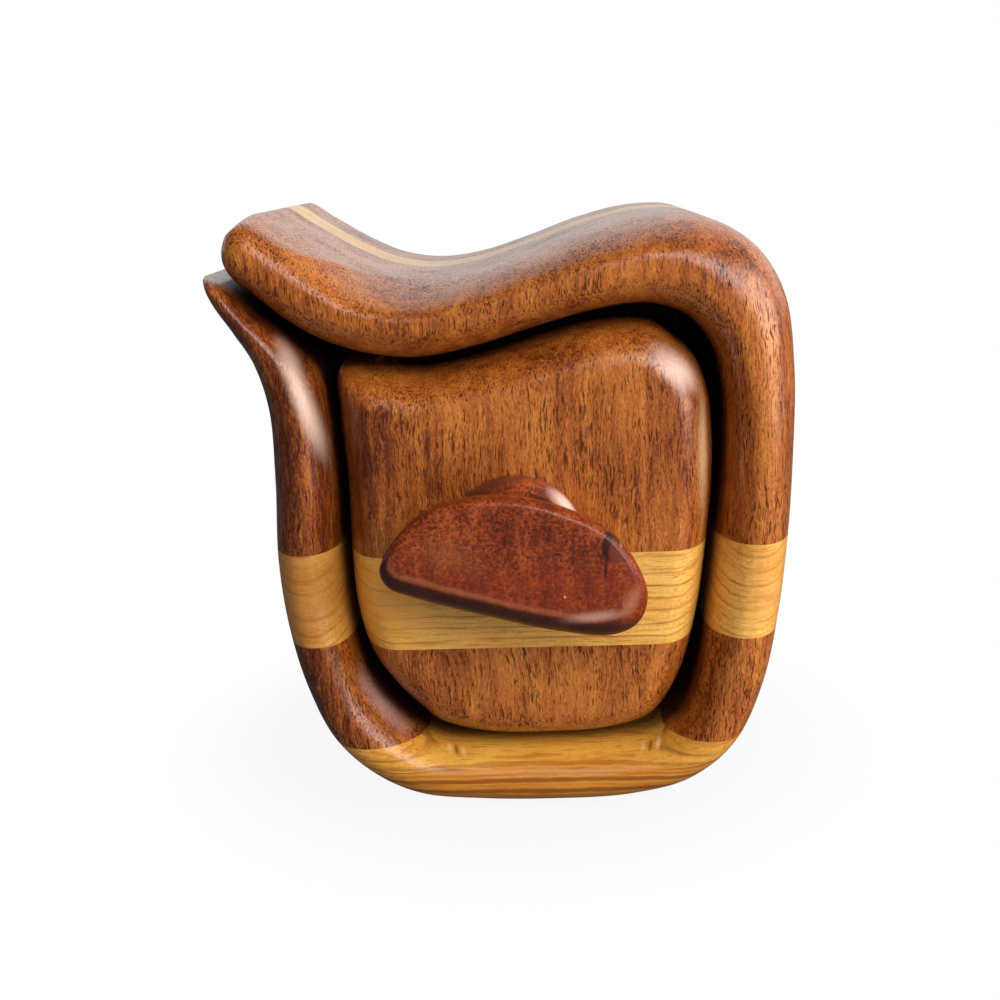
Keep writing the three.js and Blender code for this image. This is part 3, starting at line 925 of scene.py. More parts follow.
@dataclass(frozen=True)
class RingedWood(Finish):
    """Golden wood with soft brown rings that run level, gently waved, along its fibres, and with
    short fine dashes."""

    slot: str = "light_wood"
    pale: tuple = colour(246, 194, 100)
    middle: tuple = colour(222, 152, 54)
    late: tuple = colour(164, 82, 14)
    # How far apart the rings lie, how fast they grow to the back and up, how many rings they sway,
    # and how far the small sway moves them.
    period: float = 2.8
    across_back: float = -0.3
    across_up: float = 1.0
    wave: float = 1.5
    small_wave: float = 0.6
    sway: Grain = Grain(0.022, 0.05, 0.13, 3.0)
    small: Grain = Grain(0.16, 0.4, 0.4)
    cloud: Grain = Grain(0.03, 0.1, 0.2, 3.0, 0.55)
    fibres: Grain = Grain(0.16, 1.5, 1.5, 3.0, 0.6)
    grit: Grain = Grain(1.4, 2.6, 2.6, 1.0)
    coarse: Grain = Grain(0.06, 0.1, 0.34)
    fine: Grain = Grain(0.14, 0.3, 0.7)
    dash: Grain = Grain(0.16, 2.0, 2.0, 1.0)
    # How much of the gold the clouds, fibres, grit and bands give.
    gold_shares: tuple[float, ...] = (0.28, 0.22, 0.2, 0.3)
    gold_range: tuple[float, ...] = (0.36, 0.62)
    coarse_range: tuple[float, ...] = (0.34, 0.54, 0.2, 1.0)
    fine_range: tuple[float, ...] = (0.46, 0.62, 0.1, 0.8)
    finer: float = 2.3
    finer_start: float = 0.35
    dash_range: tuple[float, ...] = (0.57, 0.68)
    line_share: float = 0.62
    dash_share: float = 0.36
    # Chosen lines: height, reach and strength, and how far the small sway moves them.
    lines: tuple[tuple[float, float, float], ...] = ()
    line_wave: float = 0.8
    line_core: float = 0.3
    # How dark the painted shade on the kerf's sides is.
    gap_shade_strength: float = 0.7
    marks: tuple[Mark, ...] = (
        Mark((-46.0, -36.0, 47.0), (16.0, 50.0, 24.0), 0.0, 0.6, (184, 102, 26), 0.62),
        # Painted light: brightens the drawer's band at its left, where the pull's shadow falls.
        Mark((-25.0, -40.0, 47.0), (12.0, 30.0, 20.0), 0.0, 0.8, (255, 172, 64), 0.6),
        Mark((50.5, -42.0, 45.4), (4.4, 9.0, 1.5), 12.0, 0.9, (186, 104, 44), 0.6),
        Mark((52.0, -36.0, 47.0), (9.0, 40.0, 14.0), 0.0, 0.8, (206, 132, 52), 0.45),
    )

    def line(self, nodes: Nodes, ring: Value) -> Value:
        """A thin line once in each ring, which darkens slowly and ends less slowly."""
        tooth = nodes.maths("FRACT", ring)
        return nodes.ease(tooth, 0.66, 0.92) * nodes.ease(tooth, 0.92, 1.0, 1.0, 0.0)

    def dress(self, nodes: Nodes) -> None:
        """Soft tones along the rings, broken ring lines, short dashes, marks, some of which paint light
        and shade, chosen lines, and painted shade on the kerf's sides.

        Args:
            nodes: The material's nodes.
        """
        place = nodes.place()
        up = nodes.far(place, "Z")
        small = self.small.of(nodes, place)
        sway = self.sway.of(nodes, place) * (self.wave * self.period)
        level = nodes.far(place, "Y") * self.across_back + up * self.across_up
        level = level + sway + small * self.small_wave
        ring = level * (1 / self.period)
        grains = (self.cloud, self.fibres, self.grit)
        cloud, fibres, grit = (grain.of(nodes, place) for grain in grains)
        parts = (cloud, fibres, grit, nodes.bands(level * 0.5))
        gold = sum(part * share for part, share in zip(parts, self.gold_shares))
        wood = nodes.mix(nodes.ease(gold, *self.gold_range), self.middle, self.pale)
        coarse = nodes.ease(self.coarse.of(nodes, place), *self.coarse_range)
        fine = nodes.ease(self.fine.of(nodes, place), *self.fine_range)
        coarse = coarse * self.line(nodes, ring)
        fine = fine * self.line(nodes, ring * self.finer + self.finer_start)
        dashes = nodes.ease(self.dash.of(nodes, place), *self.dash_range)
        share = (coarse + fine) * self.line_share
        wood = nodes.mix(nodes.maths("MAXIMUM", share, dashes * self.dash_share), wood, self.late)
        wood = self.marked(nodes, place, wood)
        for height, reach, strength in self.lines:
            off = up + small * self.line_wave - (height + self.line_wave / 2)
            off = nodes.maths("ABSOLUTE", off)
            share = nodes.ease(off, reach * self.line_core, reach, strength, 0.0)
            wood = nodes.mix(share, wood, self.late)
        # Painted shade on the kerf's sides.
        wood = nodes.gap_shaded(wood, self.gap_shade_strength)
        height = fibres * 0.01 - dashes * 0.03
        nodes.surface(wood, 0.45 + fibres * 0.1, 1.0 - dashes * 0.5, height)


@dataclass(frozen=True)
class PullWood(Finish):
    """Dark red wood of the pull: mottled above, redder below, with painted shade where its lower edge
    turns in, and a knot at its right."""

    name: str = "carved_pull_wood"
    slot: str = "pull_wood"
    pale: tuple = colour(170, 80, 26)
    middle: tuple = colour(124, 41, 6)
    deep: tuple = colour(66, 22, 8)
    red: tuple = colour(134, 40, 8)
    # The painted shade of the lower bevel, and the painted highlight along its ridge.
    edge: tuple = colour(44, 16, 14)
    fleck: tuple = colour(190, 116, 66)
    waves: tuple = (((1.0, 0.0, 1.0), 0.2),)
    bands: Grain = Grain(0.16, 0.1, 0.05, 3.0, 0.6)
    fibres: Grain = Grain(1.3, 0.6, 0.35, 3.0, 0.6)
    mottle: Grain = Grain(1.7, 1.2, 2.0, 2.0, 0.6)
    pores: Grain = Grain(2.1, 1.6, 1.6, 1.0)
    tone_stops: tuple[float, ...] = (0.39, 0.49, 0.60)
    pore_range: tuple[float, float] = (0.57, 0.68)
    # The plate's front, where its upper part begins and is full, and between which heights the painted
    # shade of the lower bevel ends, along lines that fall to the right; then how strong that painted shade
    # and the painted highlight on the bevel's ridge are.
    front: float = -59.5
    upper: tuple[float, float] = (53.0, 61.0)
    bevel: tuple[float, float] = (50.0, 56.0)
    bevel_slope: float = 0.3
    bevel_shade_share: float = 0.85
    ridge_highlight_share: float = 0.4
    marks: tuple[Mark, ...] = (
        Mark((19.6, -59.0, 61.8), (2.6, 4.0, 4.2), 20.0, 0.3, (36, 12, 6), 0.9),
        Mark((20.7, -59.0, 61.0), (2.2, 4.0, 3.8), 22.0, 0.3, (112, 48, 24), 0.92),
        Mark((20.4, -59.0, 62.4), (0.7, 4.0, 1.5), -30.0, 0.6, (44, 14, 8), 0.8),
        Mark((21.0, -59.0, 61.2), (0.4, 4.0, 0.5), 0.0, 0.6, (196, 130, 86), 0.7),
        Mark((18.0, -59.0, 57.0), (0.45, 4.0, 3.0), 4.0, 0.7, (44, 14, 8), 0.8),
        Mark((10.2, -59.5, 51.6), (0.28, 2.0, 0.28), 0.0, 0.5, (230, 170, 110), 0.9),
        # Painted shade on the plate's left end.
        Mark((-25.0, -57.0, 54.0), (8.0, 9.0, 7.0), 0.0, 1.0, (40, 18, 18), 0.85),
        Mark((-11.0, -59.0, 60.0), (10.0, 6.0, 5.0), 20.0, 1.0, (160, 88, 42), 0.4),
        # Painted highlight on the neck's right; then the neck's left side darker, partly the wood's tone
        # and partly painted shade.
        Mark((11.0, -49.0, 67.2), (6.0, 6.0, 2.3), 40.0, 1.0, (244, 214, 198), 0.9),
        Mark((-4.0, -47.0, 66.0), (11.0, 7.0, 9.0), 0.0, 0.5, (78, 42, 30), 0.75),
        # Painted highlights on the lower bevel's right and along the plate's right edge.
        Mark((16.0, -57.6, 47.6), (9.0, 3.5, 1.9), -6.0, 0.9, (224, 180, 164), 0.8),
        Mark((22.6, -57.8, 50.4), (2.4, 3.5, 5.0), 24.0, 0.9, (196, 138, 108), 0.55),
    )

    def dress(self, nodes: Nodes) -> None:
        """Soft upright streaks, a mottle above and smooth red below, pores, painted shade on the lower
        edge with a painted highlight along its ridge, and the marks.

        Args:
            nodes: The material's nodes.
        """
        place = nodes.place()
        waved = self.waved(nodes, place)
        grains = (self.bands, self.fibres, self.mottle)
        bands, fibres, mottle = (grain.of(nodes, waved) for grain in grains)
        right, up = nodes.far(place, "X"), nodes.far(place, "Z")
        deep = nodes.far(place, "Y") - self.front
        tone = bands * 0.4 + fibres * 0.2 + mottle * 0.4
        wood = nodes.ramp(tone, self.tone_stops, (self.deep, self.middle, self.pale))
        high = nodes.ease(up, *self.upper)
        wood = nodes.mix(nodes.ease(high, 0.0, 1.0, 0.35, 0.0), wood, self.red)
        pores = nodes.ease(self.pores.of(nodes, waved), *self.pore_range)
        pores = pores * nodes.ease(high, 0.0, 1.0, 0.3, 0.8)
        wood = nodes.mix(pores, wood, self.deep)
        # Painted shade on the lower bevel, which faces down, and a painted highlight along the ridge where
        # it leaves the face.
        below = nodes.ease(up + right * self.bevel_slope, *self.bevel, 1.0, 0.0)
        behind = nodes.ease(deep, 0.04, 0.45)
        wood = nodes.mix(behind * below * self.bevel_shade_share, wood, self.edge)
        ridge_highlight = nodes.ease(deep, 0.0, 0.06) * nodes.ease(deep, 0.06, 0.3, 1.0, 0.0)
        wood = nodes.mix(ridge_highlight * below * self.ridge_highlight_share, wood, self.fleck)
        wood = self.marked(nodes, place, wood)
        rim = nodes.ease(deep, 0.02, 0.3) * nodes.ease(deep, 2.5, 4.0, 1.0, 0.0) * (1.0 - below)
        varnish = 1.0 - rim * 0.75 - pores * 0.25
        nodes.surface(wood, 0.45 + mottle * 0.1, varnish, mottle * 0.012 - pores * 0.04)


DARK = UprightWood()
BAND = RingedWood(name="golden_level_wood")
BASE = RingedWood(
    name="golden_base_wood",
    pale=colour(234, 174, 72),
    middle=colour(208, 134, 36),
    late=colour(132, 62, 6),
    lines=((10.1, 0.5, 0.45), (8.4, 0.4, 0.4), (7.2, 0.7, 0.8), (4.8, 0.8, 0.8)),
    marks=(
        Mark((4.0, -30.0, 0.0), (74.0, 70.0, 11.0), -1.0, 0.1, (200, 118, 14), 0.55),
        Mark((0.0, -30.0, 0.0), (95.0, 60.0, 5.0), 0.0, 0.5, (140, 76, 12), 0.4),
        # Tool marks in colour only: the pale strokes are painted highlight on their cut edges, the dark
        # ones painted shade inside them.
        Mark((-14.6, -40.0, 13.0), (0.6, 3.2, 1.6), -35.0, 0.8, (250, 206, 140), 0.75),
        Mark((-13.0, -40.0, 12.4), (0.6, 3.2, 1.5), -35.0, 0.8, (128, 66, 26), 0.8),
        Mark((-11.4, -40.0, 12.0), (0.6, 3.0, 1.3), -35.0, 0.8, (244, 194, 124), 0.7),
        Mark((29.2, -40.0, 13.0), (0.6, 3.2, 1.6), 30.0, 0.8, (250, 206, 140), 0.75),
        Mark((27.6, -40.0, 12.6), (0.6, 3.2, 1.5), 30.0, 0.8, (128, 66, 26), 0.8),
        Mark((26.0, -40.0, 12.2), (0.6, 3.0, 1.3), 30.0, 0.8, (244, 194, 124), 0.7),
    ),
)
STRIPE = RingedWood(
    name="golden_upright_wood",
    pale=colour(248, 206, 120),
    across_back=1.0,
    across_up=0.02,
    period=4.0,
    wave=0.4,
    line_share=0.75,
    marks=(),
)
PULL = PullWood()


@dataclass(frozen=True)
class Block:
    """The glued block that everything is sawn from."""

    width: float = 115.8
    depth: float = 89.0
    height: float = 122.9
    base_board: float = 14.9
    lower_board: float = 22.2
    band_board: float = 19.4
    front_board: float = 53.0
    stripe_board: float = 16.0
    back_slice: float = 9.0

    @property
    def front(self) -> float:
        """Where the case's front lies."""
        return -self.depth / 2

    @property
    def back(self) -> float:
        """Where the case's back lies."""
        return self.depth / 2

    @property
    def glue_line(self) -> float:
        """Where the back slice is glued on."""
        return self.back - self.back_slice

    @property
    def band_low(self) -> float:
        """The lower side of the light band."""
        return self.base_board + self.lower_board

    @property
    def band_high(self) -> float:
        """The upper side of the light band."""
        return self.band_low + self.band_board

    @property
    def stripe_front(self) -> float:
        """The front side of the upright light stripe."""
        return self.front + self.front_board

    @property
    def stripe_back(self) -> float:
        """The back side of the upright light stripe."""
        return self.stripe_front + self.stripe_board


@dataclass(frozen=True)
class Case:
    """The C of wood around the drawer, with its open saw kerf, and the slice glued on behind."""

    block: Block = Block()
    back_round: float = 2.0
    wall_round: float = 7.4
    wall_deep: float = 15.0
    arm_deep: float = 24.0
    ridge_deep: float = 3.0
    ridge_drop: float = 1.9
    end_round: float = 4.5
    fullest_round: float = 0.47
    shoulder_wider: float = 4.4
    front_strip: float = 0.8
    # Between which depths behind the front the painted shade on the kerf's sides grows, standing in for
    # the shade in the gaps.
    gap_shade_depth: tuple[float, float] = (6.0, 14.0)
    drop_last: float = 4.2
    ridge_first: float = 3.0
    ridge_last: float = 6.0
    crisp_last: float = 4.0
    soft_first: float = 8.0
    arm_last: float = 9.0
    shoulder_first: float = 12.0
    shoulder_last: float = 14.0
    wall_first: float = 16.0
    rows_per_station: int = 16
    outline_points: int = 640
    panel_middle: tuple[float, float] = (0.0, 60.0)
    # Outer edge x, z and inner edge x, z, from the arm's free end clockwise to the post's tip, and
    # how much of the drawer's corner ease there is.
    stations: tuple = (
        (-53.9, 117.2, -53.8, 113.8, 0), (-52.3, 121.2, -52.6, 110.5, 0), (-49.6, 123.0, -49.1, 107.0, 0),
        (-43.5, 119.4, -43.3, 102.2, 0), (-34.8, 114.2, -36.5, 98.0, 0), (-26.3, 110.4, -28.0, 95.2, 0),
        (-16.9, 108.9, -17.3, 94.1, 0), (-6.5, 110.1, -6.0, 96.1, 0), (5.0, 113.5, 6.5, 99.7, 0),
        (17.4, 117.7, 18.4, 102.5, 0), (29.8, 120.2, 28.8, 103.3, 0.3), (40.2, 119.6, 36.1, 100.6, 0.8),
        (49.7, 114.0, 40.7, 95.1, 0.6), (55.4, 104.8, 42.7, 87.4, 0.3), (57.5, 90.4, 43.1, 78.0, 0.1),
        (57.5, 74.5, 42.7, 68.0, 0), (56.7, 57.1, 41.6, 55.6, 0), (55.0, 40.2, 39.9, 40.7, 0.1),
        (51.8, 24.3, 37.9, 27.8, 0.5), (46.0, 11.8, 34.4, 18.1, 1), (36.7, 4.0, 28.8, 14.1, 0.8),
        (24.8, 0.3, 18.9, 13.2, 0.2), (7.9, -0.6, 7.9, 13.1, 0), (-7.9, -0.2, -7.0, 13.3, 0.1),
        (-21.4, 1.4, -17.9, 14.5, 0.7), (-31.3, 6.2, -24.0, 18.2, 1), (-39.0, 13.9, -29.6, 24.8, 0.9),
        (-43.9, 25.0, -32.7, 33.3, 0.3), (-47.1, 38.2, -34.4, 43.7, 0), (-48.5, 53.1, -35.0, 55.6, 0),
        (-47.8, 70.5, -35.0, 71.0, 0), (-48.0, 85.4, -35.7, 83.9, 0), (-50.7, 94.8, -37.3, 91.8, 0.8),
        (-54.2, 101.3, -42.3, 98.2, 0), (-56.9, 106.7, -48.9, 104.2, 0), (-58.2, 111.8, -54.8, 110.6, 0),
    )

    @property
    def last(self) -> int:
        """The station at the tip of the left post."""
        return len(self.stations) - 1

    @property
    def lowest(self) -> int:
        """The station where the underside is lowest."""
        return int(np.argmin([row[1] for row in self.stations]))

    def edges(self) -> tuple[Curve, Curve]:
        """The outer and inner edge, stretched to the block's width and height.

        Returns:
            The outer curve and the inner curve.
        """
        rows = np.array(self.stations, float)
        drawn = Curve(rows[:, :2]).at(np.linspace(0, self.last, self.last * 3 + 1))
        stretch = np.array([self.block.width / np.ptp(drawn[:, 0]), self.block.height / drawn[:, 1].max()])
        return Curve(rows[:, :2] * stretch), Curve(rows[:, 2:4] * stretch)

    def wall(self, first: float, last: float, back: float) -> Shape:
        """The wall between two stations, from the case's softened front to a depth.

        Args:
            first: The first station.
            last: The last station.
            back: Where its back lies.

        Returns:
            The shape.
        """
        station = np.linspace(first, last, round((last - first) * self.rows_per_station) + 1)
        outer_edge, inner_edge = self.edges()
        outer, inner = outer_edge.at(station), inner_edge.at(station)
        width = np.linalg.norm(inner - outer, axis=1)
        reach = np.minimum(self.wall_round, self.fullest_round * width)
        share = reach / self.wall_round
        shoulder = smooth_step(station, self.arm_last, self.shoulder_first)
        bulge = shoulder * (1 - smooth_step(station, self.shoulder_last, self.wall_first))
        wider = np.clip(width - 2 * reach - self.front_strip, 0, self.shoulder_wider)
        middle = (outer + inner) / 2
        stops = (np.array(0.0), np.array(float(self.last)))
        ends = [(outer_edge.at(stop) + inner_edge.at(stop)) / 2 for stop in stops]
        to_end = np.minimum(*(np.linalg.norm(middle - end, axis=1) for end in ends))
        lift = round_depth(to_end, self.end_round, self.end_round)
        rise = smooth_step(station, self.ridge_first, self.ridge_last)
        arm = self.ridge_deep + (self.arm_deep - self.ridge_deep) * rise
        deep = arm + (self.wall_deep - arm) * shoulder
        crisp = 1 - smooth_step(station, self.crisp_last, self.soft_first)
        fall = 1 - smooth_step(station, self.ridge_first, self.drop_last)
        outer_rim = Rim(reach + wider * bulge, deep * share, crisp, self.ridge_drop * share * fall)
        rims = (outer_rim, Rim(reach, self.wall_deep * share))
        made = ribbon(outer, inner, self.block.front + lift, back, rims)
        # Painted shade: the kerf side of the wall darkens with its depth behind the front, as the shade
        # inside the gap would; the outer side gets none.
        half = len(made.places) // len(station) // 2
        depth = made.places[:, 1].reshape(len(station), -1) - self.block.front
        burnt = smooth_step(depth, *self.gap_shade_depth)
        burnt[:, :half] = 0
        return replace(made, burnt=burnt.ravel())

    def build(self) -> list[bpy.types.Object]:
        """Builds the case's boards and the back slice's boards.

        Returns:
            The pieces.
        """
        block = self.block
        base, low, high = block.base_board, block.band_low, block.band_high
        made = []
        spans = ((0, self.lowest), (self.lowest, self.last))
        right, left = (self.wall(first, last, block.glue_line) for first, last in spans)
        layers = (
            ("front_board", None, block.stripe_front, DARK),
            ("stripe", block.stripe_front, block.stripe_back, STRIPE),
            ("rear_board", block.stripe_back, None, DARK),
        )
        for name, half in (("crown", right), ("left_post", left)):
            for layer, front, back, finish in layers:
                cuts = (Cut(Axis.UP, low=high), Cut(Axis.BACK, front, back))
                made.append(Piece(f"{name}_{layer}", half, finish, Body.CASE, cuts))
        boards = (
            ("upper", DARK, Cut(Axis.UP, low=high)),
            ("band", BAND, Cut(Axis.UP, low, high)),
            ("lower", DARK, Cut(Axis.UP, base, low)),
            ("base", BASE, Cut(Axis.UP, 0.0, base)),
        )
        for name, half in (("right_wall", right), ("left_wall", left)):
            for board, finish, cut in boards[1:3]:
                made.append(Piece(f"{name}_{board}", half, finish, Body.CASE, (cut,)))
        whole = self.wall(0, self.last, block.glue_line)
        made.append(Piece("base_board", whole, BASE, Body.CASE, (Cut(Axis.UP, 0.0, base),)))
        outline = even_outline(self.edges()[0], self.outline_points, self.last)
        edge = Edge(self.back_round, self.back_round)
        panel = Slab(outline, self.panel_middle, block.glue_line, block.back, back_edge=edge).shape()
        for board, finish, cut in boards:
            made.append(Piece(f"back_panel_{board}", panel, finish, Body.CASE, (cut,)))
        return [piece.build() for piece in made]


@dataclass(frozen=True)
class Drawer:
    """The sawn core: a front slice with a softened face, a hollowed middle and a back slice."""

    case: Case = Case()
    saw_gap: float = 1.5
    rest_gap: float = 0.4
    corner_ease: float = 3.0
    face_setback: float = 1.0
    face_edge: Edge = Edge(8.0, 15.0)
    front_slice: float = 18.0
    rear_gap: float = 0.5
    wall: float = 7.0
    wall_slack: float = 0.3
    core_first: int = 5
    core_last: int = 32
    hollow_first: int = 14
    hollow_last: int = 31
    hole_x: float = 1.0
    hole_above_band: float = 5.9
    hole: float = 4.3
    hole_deep: float = 9.3
    outline_points: int = 720
    fine_points: int = 1200
    hollow_points: int = 409
    rise_points: int = 400
    # Where the search for the straight ends stops, in stations after the outline's first and last.
    rise_first: float = 0.5
    rise_last: float = 2.5

    @property
    def sink(self) -> float:
        """How far the drawer has sunk."""
        return self.saw_gap - self.rest_gap

    @property
    def face(self) -> float:
        """Where the drawer's face lies."""
        return self.case.block.front + self.face_setback

    def side(self, station: np.ndarray, inside: float = 0.0) -> np.ndarray:
        """Points of the drawer's side: the inner edge, set in by the saw gap and the corner ease.

        Args:
            station: The stations.
            inside: How much deeper inside the drawer they lie.

        Returns:
            Their x and z.
        """
        inner = self.case.edges()[1]
        along = inner.along(station)
        ease = np.interp(station, np.arange(self.case.last + 1), [row[4] for row in self.case.stations])
        inset = (self.saw_gap + self.corner_ease * ease + inside)[..., None]
        inward = np.stack([along[..., 1], -along[..., 0]], -1)
        return inner.at(station) + inward * inset - np.array([0, self.sink])

    def outline(self) -> Curve:
        """The closed outline of the drawer."""
        return Curve(self.side(np.arange(self.core_first, self.core_last + 1.0)), True)

    def walls(self) -> tuple[np.ndarray, np.ndarray]:
        """The outer and inner line of the hollowed middle, from its right top round to its left.

        The inner line lies one wall inside the outer one, bridges the tight corners where it would
        fold, and runs straight up at both ends until it meets the outline.

        Returns:
            The two lines' points.
        """
        outline = self.outline()
        count = len(outline.points)
        fine = even_outline(outline, self.fine_points, count)
        station = np.linspace(self.hollow_first, self.hollow_last, self.hollow_points)
        hollow = self.side(station, self.wall)
        away = np.linalg.norm(hollow[:, None] - fine, axis=-1).min(1)
        kept = away > self.wall - self.wall_slack
        hollow = np.stack([np.interp(station, station[kept], hollow[kept, k]) for k in (0, 1)], 1)
        shell = outline.at(station - self.core_first)
        ends = []
        ways = (
            (hollow[0], self.hollow_first, self.core_first + self.rise_first),
            (hollow[-1], self.hollow_last, self.core_last + self.rise_last),
        )
        for start, first, last in ways:
            steps = np.linspace(first, last, self.rise_points)
            run = outline.at((steps - self.core_first) % count)
            beyond = np.argmax(np.abs(run[:, 0]) < abs(start[0]))
            rise = run[: beyond + 1]
            rise[-1] = [start[0], rise[-1, 1]]
            share = np.linspace(0, 1, len(rise))[:, None]
            ends.append((rise[1:], (start + (rise[-1] - start) * share)[1:]))
        (right_outer, right_inner), (left_outer, left_inner) = ends
        outer = np.vstack([right_outer[::-1], shell, left_outer])
        return outer, np.vstack([right_inner[::-1], hollow, left_inner])

    def build(self) -> list[bpy.types.Object]:
        """Builds the drawer's pieces.

        Returns:
            The pieces.
        """
        block = self.case.block
        low, high = block.band_low - self.sink, block.band_high - self.sink
        split = self.face + self.front_slice
        outline = self.outline()
        outline = even_outline(outline, self.outline_points, len(outline.points))
        middle = (self.hole_x, block.band_high + self.hole_above_band)
        hole = Hole(self.hole, self.face + self.hole_deep)
        front = Slab(outline, middle, self.face, split, self.face_edge, front_hole=hole).shape()
        rear = Slab(outline, middle, block.stripe_back, block.glue_line - self.rear_gap).shape()
        above, below = Cut(Axis.UP, low=high), Cut(Axis.UP, high=low)
        between = Cut(Axis.UP, low, high)
        boards = (("upper", DARK, above), ("band", BAND, between), ("lower", DARK, below))
        made = []
        for name, shape in (("front", front), ("back", rear)):
            for board, finish, cut in boards:
                made.append(Piece(f"drawer_{name}_{board}", shape, finish, Body.DRAWER, (cut,)))
        outer, inner = self.walls()
        flat = np.ones(len(outer))

        def ring(front: float, back: float) -> Shape:
            """The hollowed middle between two depths."""
            return ribbon(outer, inner, front * flat, back)

        board = ring(split, block.stripe_front)
        stripe = ring(block.stripe_front, block.stripe_back)
        whole = ring(split, block.stripe_back)
        parts = (
            ("board", board, DARK, above),
            ("stripe", stripe, STRIPE, above),
            ("band", whole, BAND, between),
        )
        sides = {"left": Cut(Axis.RIGHT, high=0.0), "right": Cut(Axis.RIGHT, low=0.0)}
        for side, half in sides.items():
            for name, shape, finish, cut in parts:
                cuts = (cut, half)
                made.append(Piece(f"drawer_{side}_{name}", shape, finish, Body.DRAWER, cuts))
        made.append(Piece("drawer_trough", whole, DARK, Body.DRAWER, (below,)))
        return [piece.build() for piece in made]


@dataclass(frozen=True)
class Pull:
    """The carved pull: a softly edged plate on a round neck, and the dowel inside both."""

    drawer: Drawer = Drawer()
    plate: float = 7.0
    plate_round: float = 3.0
    top_round: float = 1.3
    low_round: float = 5.6
    low_deep: float = 4.4
    neck: float = 9.0
    neck_bulge: float = 0.7
    neck_radius: float = 12.2
    neck_foot_radius: float = 13.4
    x: float = 1.0
    above_band: float = 1.9
    dowel: float = 4.0
    dowel_rise: float = 4.0
    dowel_fit: float = 0.3
    dowel_in_plate: float = 4.0
    dowel_in_drawer: float = 9.0
    dowel_bevel: float = 0.4
    outline_points: int = 480
    neck_rows: int = 25
    turned_points: int = 96
    # Between which directions of the outline its upper border turns into the lower one, and how
    # much flat side is left where both borders are deepest.
    low_range: tuple[float, float] = (-0.8, 0.8)
    side_left: float = 0.2
    outline: tuple = (
        (-25.8, -1.4), (-22.4, 4.6), (-15.9, 9.9), (-8, 12), (1, 11.9), (9.9, 9.3), (17.7, 5), (23, -1.6),
        (25, -7.9), (23.3, -13.4), (18.3, -15.8), (6.9, -14.6), (-7, -11.1), (-18.9, -7.7), (-24.8, -5),
    )

    @property
    def up(self) -> float:
        """How high the neck's axis lies."""
        return self.drawer.case.block.band_high + self.above_band

    def lathe(self, profile: Sequence[tuple[float, float]], rise: float) -> Shape:
        """A turned piece: the profile carried round the pull's axis, or round the dowel's.

        Args:
            profile: Radius and depth of its points, from one end of the axis round to the other.
            rise: How far its axis lies above the neck's.

        Returns:
            The shape.
        """
        radius, depth = np.array(profile, float).T
        turn = np.linspace(0, 2 * math.pi, self.turned_points, endpoint=False)
        up = self.up + rise
        x = self.x + radius[:, None] * np.cos(turn)
        z = up + radius[:, None] * np.sin(turn)
        loops = np.stack([x, depth[:, None] + 0 * x, z], -1)
        poles = tuple(np.array([[self.x, depth[k], up]]) for k in (0, -1))
        return tube(loops, poles)

    def build(self) -> list[bpy.types.Object]:
        """Builds the plate, the neck and the dowel.

        Returns:
            The pieces.
        """
        face, up = self.drawer.face, self.up
        back = face - self.neck
        points = np.array(self.outline, float) + np.array([self.x, up])
        outline = even_outline(Curve(points, True), self.outline_points, len(points))
        step = np.roll(outline, -1, 0) - np.roll(outline, 1, 0)
        low = smooth_step(-step[:, 0] / np.linalg.norm(step, axis=1), *self.low_range)
        across = self.top_round + (self.low_round - self.top_round) * low
        soft = Edge(across, self.top_round + (self.low_deep - self.top_round) * low)
        behind = Edge(self.plate_round, self.plate - self.low_deep - self.side_left)
        hole = Hole(self.dowel + self.dowel_fit, back - self.dowel_in_plate - self.dowel_fit)
        middle = (self.x, up + self.dowel_rise)
        edges = {"front_edge": soft, "back_edge": behind, "back_hole": hole}
        plate = Slab(outline, middle, back - self.plate, back, **edges).shape()
        depth = np.linspace(back, face, self.neck_rows)
        share = (depth - back) / self.neck
        bulge = self.neck_bulge * np.sin(math.pi * share)
        foot = self.neck_radius + (self.neck_foot_radius - self.neck_radius) * share + bulge
        neck = [(POLE, back), (self.neck_radius / 2, back), *zip(foot, depth)]
        neck += [(self.neck_foot_radius / 2, face), (POLE, face)]
        first, last = back - self.dowel_in_plate, face + self.dowel_in_drawer
        narrow, bevel = self.dowel - self.dowel_bevel, self.dowel_bevel
        peg = [(POLE, first), (narrow, first), (self.dowel, first + bevel)]
        peg += [(self.dowel, last - bevel), (narrow, last), (POLE, last)]
        made = [
            Piece("pull_plate", plate, PULL, Body.DRAWER),
            Piece("pull_neck", self.lathe(neck, 0.0), PULL, Body.DRAWER),
            Piece("pull_dowel", self.lathe(peg, self.dowel_rise), BAND, Body.DRAWER),
        ]
        return [piece.build() for piece in made]


@dataclass(frozen=True)
class Lamp:
    """A large soft lamp: where it stands and what it faces, in metres, how wide and high it is, and
    its light."""

    name: str
    place: tuple[float, float, float]
    wide: float
    high: float
    power: float
    aim: tuple[float, float, float] = (0.0, 0.0, 0.06)

    def build(self) -> None:
        """Adds the lamp."""
        data = bpy.data.lights.new(self.name, "AREA")
        data.shape, data.size, data.size_y, data.energy = "RECTANGLE", self.wide, self.high, self.power
        lamp = added(self.name, data)
        away = np.array(self.place) - np.array(self.aim)
        back = away / np.linalg.norm(away)
        right = np.cross([0.0, 0.0, 1.0], back)
        right = right / np.linalg.norm(right)
        lamp.matrix_world = placed(right, np.cross(back, right), back, self.place)


def added(name: str, data: bpy.types.ID) -> bpy.types.Object:
    """Adds a mesh, a lamp or a camera to the scene.

    Args:
        name: The object's name.
        data: What it shows.

    Returns:
        The object.
    """
    made = bpy.data.objects.new(name, data)
    bpy.context.scene.collection.objects.link(made)
    return made


